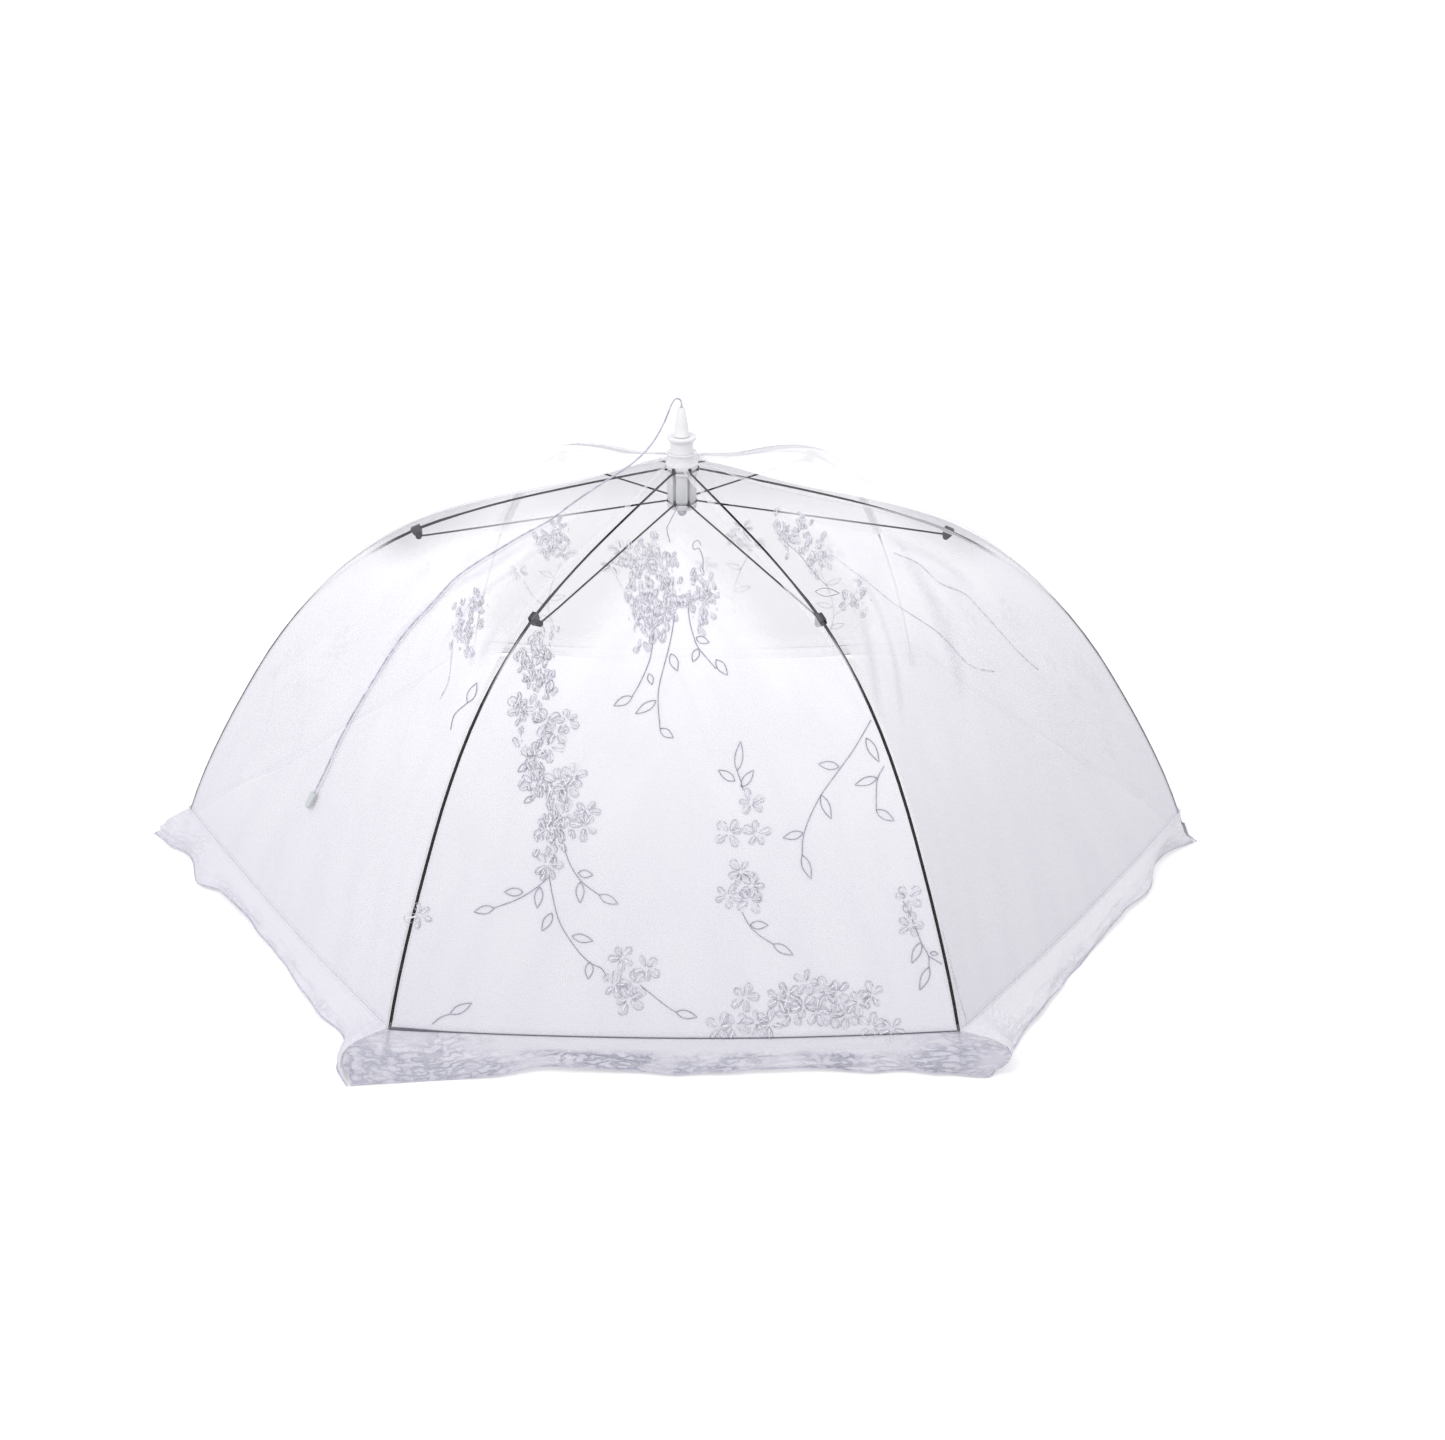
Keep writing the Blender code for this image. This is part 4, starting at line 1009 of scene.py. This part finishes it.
class Stitching:
    """The embroidery of one side, drawn in the side's own pattern or over the photograph."""

    def __init__(self, side, scale):
        self.side = side
        self.scale = scale
        self.lines = {}
        self.made = {-1: [], 1: []}
        self.draw = random.Random(side)

    def sew(self, places, kind):
        end = 1 if sum(along for along, _ in places) > 0 else -1
        points = [canopy_point(self.side, *place, THREAD_STAND_OFF) for place in places]
        self.lines.setdefault((end, kind), []).append(points)

    def turned_aside(self, centre, heart, out, aside, angle):
        x = heart[0] + out * math.cos(angle) - aside * math.sin(angle)
        y = heart[1] + out * math.sin(angle) + aside * math.cos(angle)
        return self.beside(centre, x, y)

    def petal(self, centre, heart, angle, long, wide, kind):
        """A narrow loop that starts by a heart, over a line of satin stitch. Some stay open."""
        first = self.draw.choice(PETAL_GAPS)
        last = PETAL_POINTS - self.draw.choice(PETAL_GAPS)
        loop = []
        for i in range(first, last + 1):
            swing = math.tau * i / PETAL_POINTS
            out = long * (PETAL_EYE + PETAL_REACH * (1 - math.cos(swing)))
            aside = wide * (PETAL_BELLY - PETAL_WAIST * math.cos(swing)) * math.sin(swing)
            loop.append(self.turned_aside(centre, heart, out, aside, angle))
        self.sew(loop, kind)
        fill = [self.turned_aside(centre, heart, long * k, 0, angle) for k in SATIN_SHARES]
        self.sew(fill, "satin")

    def flower(self, centre, kind="petal"):
        """Long petals round a small eye."""
        turn = self.draw.uniform(0, math.tau)
        for petal in range(FLOWER_PETALS):
            angle = turn + math.tau * petal / FLOWER_PETALS
            angle += self.draw.uniform(-FLOWER_UNEVENNESS, FLOWER_UNEVENNESS)
            long = self.scale * FLOWER_DIAMETER / 2 * self.draw.uniform(*FLOWER_LENGTHS)
            wide = long * self.draw.uniform(*FLOWER_WIDTHS)
            self.petal(centre, (0, 0), angle, long, wide, kind)

    def tuft(self, centre, kind="faint"):
        """A handful of upright loops and short stitches, for a crowded cluster."""
        spread = self.scale * TUFT_SPREAD
        for _ in range(TUFT_LOOPS):
            heart = (self.draw.uniform(-spread, spread), self.draw.uniform(-spread, spread))
            angle = math.pi / 2 * self.draw.choice((-1, 1))
            angle += self.draw.uniform(-TUFT_LEAN, TUFT_LEAN)
            long = self.scale * TUFT_HEIGHT * self.draw.uniform(*TUFT_LENGTHS)
            self.petal(centre, heart, angle, long, long * self.draw.uniform(*TUFT_WIDTHS), kind)
        for _ in range(TUFT_DASHES):
            heart = (self.draw.uniform(-spread, spread), self.draw.uniform(-spread, spread))
            dash = self.scale * TUFT_DASH * self.draw.uniform(*TUFT_LENGTHS)
            ends = [self.turned_aside(centre, heart, out, 0, DASH_ANGLE) for out in (0, dash)]
            self.sew(ends, kind)

    def leaf(self, base, tip, kind="stem"):
        """A pointed outline in one thread, from its base round to its base again."""
        x, y = tip[0] - base[0], tip[1] - base[1]
        long = math.hypot(x, y)
        wide = min(self.scale * LEAF_WIDTH, 0.5 * long) / 2 / long
        loop = []
        for i in range(2 * LEAF_POINTS + 1):
            out = 1 - abs(1 - i / LEAF_POINTS)
            edge = wide if i <= LEAF_POINTS else -wide
            aside = edge * math.sin(math.pi * out**LEAF_BLUNTNESS)
            loop.append(self.beside(base, out * x - aside * y, out * y + aside * x))
        self.sew(loop, kind)

    def stem(self, points, kind="stem"):
        curve = smooth_line([(x, y, 0) for x, y in points], STEM_STEPS)
        self.sew([self.beside((point.x, point.y), 0, 0) for point in curve], kind)

    def fold(self, number, width, points):
        """A soft fold of the net: a faint band, doubled net with painted shade, that fades out to
        its edges and ends.
        """
        curve = smooth_line([(x, y, 0) for x, y in points], FOLD_ROWS // (len(points) - 1) + 1)
        last = len(curve) - 1

        def place(u, v):
            i = round(v * last)
            lean = (curve[min(i + 1, last)] - curve[max(i - 1, 0)]).normalized()
            off = (u - 0.5) * width
            along, share = self.beside((curve[i].x, curve[i].y), -off * lean.y, off * lean.x)
            return canopy_point(self.side, along, share, THREAD_STAND_OFF)

        middle = self.beside((curve[last // 2].x, curve[last // 2].y), 0, 0)
        end = 1 if middle[0] > 0 else -1
        name = f"soft_fold_{self.side}_{number}"
        band = cloth(name, FOLD_DOUBLE_AND_SHADE, FOLD_COLUMNS, last, place, lambda u, v: (u, v))
        self.made[end].append(fold_with(band, rib_at(self.side, end)))

    def finish(self):
        for (end, kind), lines in sorted(self.lines.items()):
            rib = rib_at(self.side, end)
            name = f"{kind}_stitching_{self.side}_rib_{rib}"
            piece = threads(name, STITCHES[kind], lines, THREAD_RADII[kind])
            self.made[end].append(fold_with(piece, rib))
        return self.made


class PhotoStitching(Stitching):
    """Embroidery given by the pixels of the photograph."""

    def __init__(self, side):
        super().__init__(side, PIXELS_PER_METRE)

    def beside(self, pixel, x, y):
        place, by_x, by_y = place_of_pixel(self.side, round(pixel[0]), round(pixel[1]))
        x += pixel[0] - round(pixel[0])
        y += pixel[1] - round(pixel[1])
        return place + x * by_x + y * by_y


class PatternStitching(Stitching):
    """Embroidery in metres from the side's middle line, and down the slope from the hub."""

    def __init__(self, side):
        super().__init__(side, 1)

    def beside(self, spot, x, y):
        share = (spot[1] + y) / RIB.length
        return (spot[0] + x) / half_width(round(share, 3)), share


# The stitching of the front side, by the pixels of the photograph. A leaf is (base, tip).
FRONT_TUFTS = (
    (628, 568), (636, 556), (648, 548), (656, 546), (640, 566), (652, 560), (664, 562),
    (670, 574), (660, 574), (648, 574), (636, 578), (642, 588), (654, 588), (666, 588),
    (676, 590), (634, 598), (646, 600), (658, 600), (670, 602), (680, 598), (636, 610),
    (648, 612), (660, 612), (670, 612), (642, 622), (652, 624), (662, 622), (646, 634),
    (654, 634), (664, 632), (696, 580), (704, 586), (692, 592), (702, 598), (710, 604),
    (700, 608), (698, 618),
)
FRONT_DARK_TUFTS = (
    (550, 642), (541, 650), (530, 650), (524, 660), (536, 664), (546, 660), (528, 672),
    (540, 676), (533, 684), (543, 690), (520, 704), (530, 712), (540, 718), (528, 742),
    (534, 756), (530, 768), (540, 776), (536, 790), (546, 800), (556, 790), (552, 812),
    (560, 824), (548, 826), (568, 836), (554, 840), (544, 850), (552, 862),
)
FRONT_FLOWERS = (
    (519, 710), (546, 722), (567, 721), (556, 733), (549, 747),
    (535, 757), (572, 776), (558, 782), (534, 784),
    (567, 788), (564, 815), (587, 811), (547, 828),
    (584, 826), (547, 864), (622, 958), (646, 968), (614, 985),
    (634, 984), (628, 1000), (751, 803), (756, 834), (729, 833), (741, 872), (727, 896),
    (752, 886), (750, 900), (907, 897), (910, 926), (745, 997), (720, 1027), (735, 1025),
    (757, 1022), (769, 1024), (779, 999), (788, 994), (791, 1015), (805, 983), (803, 1006),
    (816, 1012), (826, 992), (838, 992), (832, 1015), (846, 1015), (872, 995), (859, 1001),
    (871, 1026), (892, 1029), (420, 915),
)
FRONT_LEAVES = (
    ((632, 697), (614, 706)), ((660, 729), (673, 738)), ((716, 660), (727, 675)),
    ((656, 701), (636, 714)), ((671, 654), (677, 671)), ((649, 674), (652, 685)),
    ((696, 638), (709, 643)), ((698, 649), (693, 662)), ((552, 680), (547, 694)),
    ((533, 797), (524, 803)), ((528, 764), (518, 772)), ((494, 908), (474, 912)),
    ((523, 892), (504, 892)), ((540, 887), (537, 908)), ((552, 913), (542, 931)),
    ((572, 936), (593, 941)), ((590, 962), (588, 979)), ((599, 895), (618, 904)),
    ((578, 873), (593, 875)), ((580, 882), (580, 903)), ((676, 1012), (697, 1017)),
    ((737, 771), (741, 741)), ((735, 781), (718, 770)), ((741, 787), (754, 770)),
    ((773, 944), (793, 955)), ((750, 925), (768, 925)), ((802, 855), (811, 879)),
    ((839, 767), (818, 764)), ((821, 795), (831, 819)), ((803, 833), (783, 838)),
    ((866, 738), (879, 762)), ((877, 778), (855, 785)), ((876, 810), (894, 821)),
    ((921, 942), (912, 963)), ((929, 967), (920, 990)), ((930, 953), (938, 954)),
    ((450, 1014), (472, 1003)),
)
FRONT_STEMS = (
    ((654, 633), (650, 659), (641, 681), (632, 697)),
    ((675, 613), (670, 643), (660, 682), (658, 702), (660, 729)),
    ((688, 608), (690, 623), (694, 638), (699, 649), (716, 669)),
    ((701, 546), (698, 541), (693, 544), (694, 550), (699, 549), (703, 560), (702, 575)),
    ((679, 505), (670, 522), (667, 530), (670, 543)),
    ((549, 875), (553, 898), (560, 923), (575, 947), (589, 962), (602, 969), (608, 981)),
    ((549, 877), (536, 888), (518, 899), (494, 908)),
    ((564, 847), (570, 864), (581, 881), (599, 895)),
    ((640, 985), (665, 1005), (676, 1012)),
    ((737, 771), (741, 782), (743, 790)),
    ((742, 912), (749, 925), (759, 935), (773, 944)),
    ((871, 720), (854, 749), (839, 770), (821, 795), (809, 819), (803, 838), (802, 855)),
    ((884, 766), (877, 781), (876, 810)),
    ((903, 901), (912, 919), (921, 942), (928, 955), (929, 967)),
    ((928, 956), (942, 964)),
    ((432, 1024), (441, 1017), (450, 1014)),
)
LEFT_TUFTS = (
    (466, 604), (476, 612), (480, 602), (462, 622), (472, 628), (464, 640), (457, 634),
    (553, 530), (546, 540), (556, 546), (562, 536),
)
LEFT_LEAVES = (((468, 703), (477, 683)),)
LEFT_STEMS = (((468, 703), (455, 715), (451, 730)),)
LEFT_FAINT_STEMS = (((453, 640), (449, 680), (440, 700)),)
# Soft folds of the net, darker for painted shade: width in pixels, then their line
LEFT_FOLDS = (
    (11, ((560, 520), (499, 562), (450, 590), (415, 620), (397, 642), (380, 672))),
    (12, ((600, 530), (560, 560), (520, 600), (490, 640), (478, 668))),
    (9, ((585, 515), (545, 545), (500, 580), (470, 606), (440, 648))),
)
RIGHT_TUFTS = (
    (781, 526), (790, 532), (800, 528), (806, 538), (796, 542), (786, 540), (812, 548),
    (818, 562), (850, 596), (862, 600),
)
RIGHT_LEAVES = (((815, 592), (838, 594)),)
RIGHT_STEMS = (((777, 534), (789, 546), (800, 556), (815, 575), (828, 588)),)
RIGHT_FAINT_STEMS = (
    ((829, 552), (848, 568), (868, 583), (891, 602), (905, 611)),
    ((893, 553), (918, 564), (939, 583), (964, 594), (981, 611), (1019, 653), (1038, 670)),
    ((905, 611), (939, 634), (969, 665), (994, 672)),
    ((940, 925), (950, 962), (960, 1000), (969, 1030)),
)
RIGHT_FOLDS = (
    (12, ((842, 580), (860, 615), (872, 665), (880, 720))),
    (9, ((858, 572), (878, 610), (894, 660), (903, 730))),
    (18, ((905, 560), (932, 600), (952, 650), (962, 700))),
    (14, ((880, 535), (905, 545), (940, 562), (975, 590))),
)
PHOTO_STITCHING = {
    LEFT: {
        "soft_folds": LEFT_FOLDS,
        "tufts": LEFT_TUFTS,
        "leaves": LEFT_LEAVES,
        "stems": LEFT_STEMS,
        "faint_stems": LEFT_FAINT_STEMS,
    },
    FRONT: {
        "flowers": FRONT_FLOWERS,
        "tufts": FRONT_TUFTS,
        "dark_tufts": FRONT_DARK_TUFTS,
        "leaves": FRONT_LEAVES,
        "stems": FRONT_STEMS,
    },
    RIGHT: {
        "soft_folds": RIGHT_FOLDS,
        "tufts": RIGHT_TUFTS,
        "leaves": RIGHT_LEAVES,
        "stems": RIGHT_STEMS,
        "faint_stems": RIGHT_FAINT_STEMS,
    },
}

# A light sprig for the sides that the photograph hardly shows, in metres from its foot:
# stems, flower hearts, and leaves as (base, tip), with x along the side and y down the slope.
SPRIG_STEMS = (
    ((0, 0), (0.004, -0.020), (0.001, -0.041), (-0.006, -0.062)),
    ((0.004, -0.020), (0.013, -0.030), (0.018, -0.043)),
)
SPRIG_FLOWERS = ((-0.008, -0.071), (0.003, -0.076), (-0.002, -0.086), (0.021, -0.052))
SPRIG_LEAVES = (
    ((0.002, -0.010), (0.011, -0.013)),
    ((0.003, -0.028), (-0.007, -0.032)),
    ((-0.001, -0.048), (0.008, -0.053)),
)
SPRIG_FEET = ((-0.085, 0.352), (-0.030, 0.336), (0.040, 0.356), (0.085, 0.346))


def stitch_by_pixels(
    side, soft_folds=(), flowers=(), tufts=(), dark_tufts=(), leaves=(), stems=(), faint_stems=()
):
    work = PhotoStitching(side)
    for number, (width, line) in enumerate(soft_folds, 1):
        work.fold(number, width, line)
    for flower in flowers:
        work.flower(flower)
    for tuft in tufts:
        work.tuft(tuft)
    for tuft in dark_tufts:
        work.tuft(tuft, "petal")
    for base, tip in leaves:
        work.leaf(base, tip)
    for stem in stems:
        work.stem(stem)
    for stem in faint_stems:
        work.stem(stem, "faint")
    return work.finish()


def stitch_sprigs(side):
    work = PatternStitching(side)
    for number, (x, y) in enumerate(SPRIG_FEET):
        mirror = 1 if (number + side) % 2 else -1

        def at(point):
            return x + mirror * point[0], y + point[1]

        for stem in SPRIG_STEMS:
            work.stem([at(point) for point in stem], "faint")
        for flower in SPRIG_FLOWERS:
            work.flower(at(flower), "faint")
        for base, tip in SPRIG_LEAVES:
            work.leaf(at(base), at(tip), "faint")
    return work.finish()


def add_rib_sleeve(side):
    """A sleeve of net under the rib at a side's far end, sewn to the inside of the canopy."""
    rib = rib_at(side, 1)
    start, stop = SLEEVE_SHARES

    def place(u, v):
        share = start + (stop - start) * v
        off = (u - 0.5) * SLEEVE_WIDTH / half_width(share)
        close = 1 - (2 * u - 1) ** 2
        return canopy_point(side, 1 - off, share, -SLEEVE_DROP * close - FABRIC_THICKNESS)

    def flat(u, v):
        return u * SLEEVE_WIDTH, v * (stop - start) * RIB.length

    name = f"rib_sleeve_{rib}"
    sleeve = cloth(name, BRIGHTENED_SLEEVE_NET, SLEEVE_COLUMNS, SLEEVE_ROWS, place, flat)
    return fold_with(sleeve, rib)


def seam_width(share):
    """The seam allowance: wider towards the clip, then running out to nothing."""
    if share < SEAM_WIDEST_SHARE:
        return SEAM_TOP_WIDTH + (SEAM_WIDTH - SEAM_TOP_WIDTH) * share / SEAM_WIDEST_SHARE
    return SEAM_WIDTH * bump(share, SEAM_WIDEST_SHARE, SEAM_END_SHARE - SEAM_WIDEST_SHARE)


def add_rib_seam(rib):
    """The seam allowance beside a rib: a folded strip with its thread along the free edge."""
    side = (rib - 2) % SIDES + 1
    span = SEAM_END_SHARE - CANOPY_START_SHARE
    length = RIB.length * span

    def share_at(v):
        return CANOPY_START_SHARE + span * v

    def place(u, v):
        share = share_at(v)
        wide = half_width(share)
        gap = min(SEAM_GAPS.get(rib, SEAM_GAP), wide / 2)
        off = min((gap + u * seam_width(share)) / wide, SEAM_LIMIT)
        return canopy_point(side, 1 - off, share, SEAM_LIFT)

    def flat(u, v):
        return u * seam_width(share_at(v)), v * length

    strip = cloth(f"rib_seam_{rib}", SEAM_NET, SEAM_COLUMNS, CANOPY_ROWS, place, flat)
    edge = sampled(lambda v: place(1, v), CANOPY_ROWS)
    sewing = threads(f"rib_seam_thread_{rib}", FAINT_SEAM, [edge], SEAM_THREAD_RADIUS)
    fold_with(strip, rib)
    fold_with(sewing, rib)


def add_side(side):
    given = PHOTO_STITCHING.get(side)
    stitching = stitch_by_pixels(side, **given) if given else stitch_sprigs(side)
    if rib_at(side, 1) in SLEEVED_RIBS:
        stitching[1].append(add_rib_sleeve(side))
    for end in (-1, 1):
        add_canopy_half(side, end, stitching[end] + add_hem_half(side, end))
        add_lace_half(side, end)


def add_collar():
    """The net gathered round the hub's neck, held by its tie."""
    line = smooth_line([(radius, height, 0) for radius, height in COLLAR_LINE], COLLAR_STEPS)
    rows = len(line) - 1

    def place(turn, share):
        spot = line[round(share * rows)]
        angle = math.tau * turn
        bunch = COLLAR_BUNCHING * math.sin(COLLAR_BUNCHES * angle)
        pleat = math.sin(COLLAR_PLEATS * angle + bunch)
        depth = COLLAR_PLEAT_DEPTH * (COLLAR_TOP_DEPTH + (1 - COLLAR_TOP_DEPTH) * share)
        radius = spot.x + depth * pleat
        height = spot.y + depth * COLLAR_PLEAT_RISE * pleat
        return Vector((radius * math.cos(angle), radius * math.sin(angle), height))

    def flat(u, v):
        return u * COLLAR_WIDTH, v * COLLAR_HEIGHT

    collar = cloth("gathered_collar", COLLAR_NET, COLLAR_COLUMNS, rows, place, flat)
    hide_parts("top_collar")
    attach(collar, "hub")


def laid_strands(path):
    """The strands of a twisted cord along a path, and their radius."""
    side = Vector((0, 0, 1)).cross(path.at(0.5)).normalized()
    strand_radius = CORD_RADIUS * STRAND_SHARE
    lines = []
    for strand in range(CORD_STRANDS):

        def place(share):
            lean = path.direction(share)
            aside = (side - side.dot(lean) * lean).normalized()
            angle = math.tau * (strand / CORD_STRANDS + share * path.length / CORD_TWIST)
            turn = aside * math.cos(angle) + lean.cross(aside) * math.sin(angle)
            return path.at(share) + (CORD_RADIUS - strand_radius) * turn

        lines.append(sampled(place, CORD_POINTS))
    return lines, strand_radius


def add_tab(route):
    """The moulded tab that grips the cord's end."""
    lean = route.direction(1)
    aside = lean.cross(Vector((route.at(1).x, route.at(1).y, 0))).normalized()
    turn = Matrix((aside, lean.cross(aside), lean)).transposed().to_4x4()
    centre = route.at(1) + lean * (TAB_LENGTH / 2 + CLEARANCE)
    bm = bmesh.new()
    bmesh.ops.create_cube(bm, size=1)
    bmesh.ops.subdivide_edges(bm, edges=bm.edges, cuts=TAB_CUTS, use_grid_fill=True)
    for vert in bm.verts:
        waist = TAB_WAIST * math.cos(math.tau * vert.co.z)
        vert.co.x *= TAB_MIDDLE_WIDTH - TAB_TAPER * vert.co.z + waist
        vert.co.y *= TAB_EDGE_THICKNESS + TAB_BULGE * (0.25 - vert.co.z**2)
    bm.transform(Matrix.Diagonal((TAB_WIDTH, TAB_THICKNESS, TAB_LENGTH, 1)))
    bm.transform(Matrix.Translation(centre) @ turn)
    mesh = bpy.data.meshes.new("moulded_tab")
    bm.to_mesh(mesh)
    bm.free()
    tab = new_object("moulded_tab", mesh, TAB_PLASTIC)
    smooth = tab.modifiers.new("rounded", "SUBSURF")
    smooth.levels = smooth.render_levels = TAB_SMOOTHING
    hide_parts("pull_tab")
    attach(tab, f"rib_{CORD_RIB}")
    return tab


def add_pull_cord():
    """The free end of the cord, from the finial down the left front side to its tab."""
    route = Path(CORD_ROUTE)
    lines, strand_radius = laid_strands(route)
    cord = threads("pull_cord_twist", CORD, lines, strand_radius)
    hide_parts("pull_cord")
    tab = add_tab(route)
    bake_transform(cord)
    [tuple(point) for point in sampled(route.at, CORD_PATH_STEPS)]


def add_inner_cord():
    """The cord through the hub and the runner."""
    path = sampled(Path(INNER_CORD_LINE).at, INNER_CORD_STEPS)
    cord = threads("inner_cord_run", CORD, [path], CORD_RADIUS, resolution=1)
    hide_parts("inner_cord")
    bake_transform(cord)


def finish_frame():
    """Finishes and eased edges for the solids that stay in sight."""
    finishes = {
        "top_hub": WHITE_PLASTIC,
        "finial_cone": WHITE_PLASTIC,
        "hub_ring_wire": STEEL,
        "collar_tie": TIE,
        "runner": MILKY_PLASTIC,
        "runner_ring_wire": STEEL,
        "cord_knot": CORD,
    }
    for number in range(1, SIDES + 1):
        finishes[f"rib_tip_{number}"] = GREY_PLASTIC
        finishes[f"rib_clip_{number}"] = DARK_FITTING
        for piece in ("rib", "strut", "strut_rivet"):
            finishes[f"{piece}_{number}"] = GRAPHITE
    for name, material in finishes.items():
        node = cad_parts[name]
        node.data.materials.clear()
        node.data.materials.append(material)
        node.data.shade_smooth()
        weld = node.modifiers.new("joined edges", "WELD")
        weld.merge_threshold = WELD_DISTANCE
        edge = node.modifiers.new("eased edges", "BEVEL")
        edge.width = EASED_EDGE
        edge.segments = 2
        edge.limit_method = "ANGLE"
        edge.angle_limit = EASED_ANGLE
        edge.harden_normals = True


def placed(name, data, place, direction):
    """A camera or a lamp that looks along a direction."""
    holder = bpy.data.objects.new(name, data)
    holder.location = place
    holder.rotation_euler = direction.to_track_quat("-Z", "Y").to_euler()
    bpy.context.scene.collection.objects.link(holder)
    return holder


def add_studio():
    scene = bpy.context.scene
    scene.view_settings.view_transform = "Standard"
    lens = bpy.data.cameras.new("photograph camera")
    lens.sensor_width = SENSOR_WIDTH
    lens.lens = LENS
    scene.camera = placed("photograph camera", lens, CAMERA_PLACE, CAMERA_DIRECTION)

    bm = bmesh.new()
    bmesh.ops.create_grid(bm, x_segments=4, y_segments=4, size=FLOOR_SIZE / 2)
    mesh = bpy.data.meshes.new("studio_floor")
    bm.to_mesh(mesh)
    bm.free()
    new_object("studio_floor", mesh, floor_finish())

    lamp = bpy.data.lights.new("soft key", "AREA")
    lamp.energy = LAMP_POWER
    lamp.size = LAMP_SIZE
    placed("soft key", lamp, LAMP_PLACE, -LAMP_PLACE)

    scene.world = bpy.data.worlds.new("studio sky")
    scene.world.use_nodes = True
    background = scene.world.node_tree.nodes["Background"]
    background.inputs["Color"].default_value = (*SKY_LIGHT, 1)


for number in range(1, SIDES + 1):
    add_side(number)
    add_rib_seam(number)
add_collar()
add_inner_cord()
finish_frame()
add_studio()
add_pull_cord()
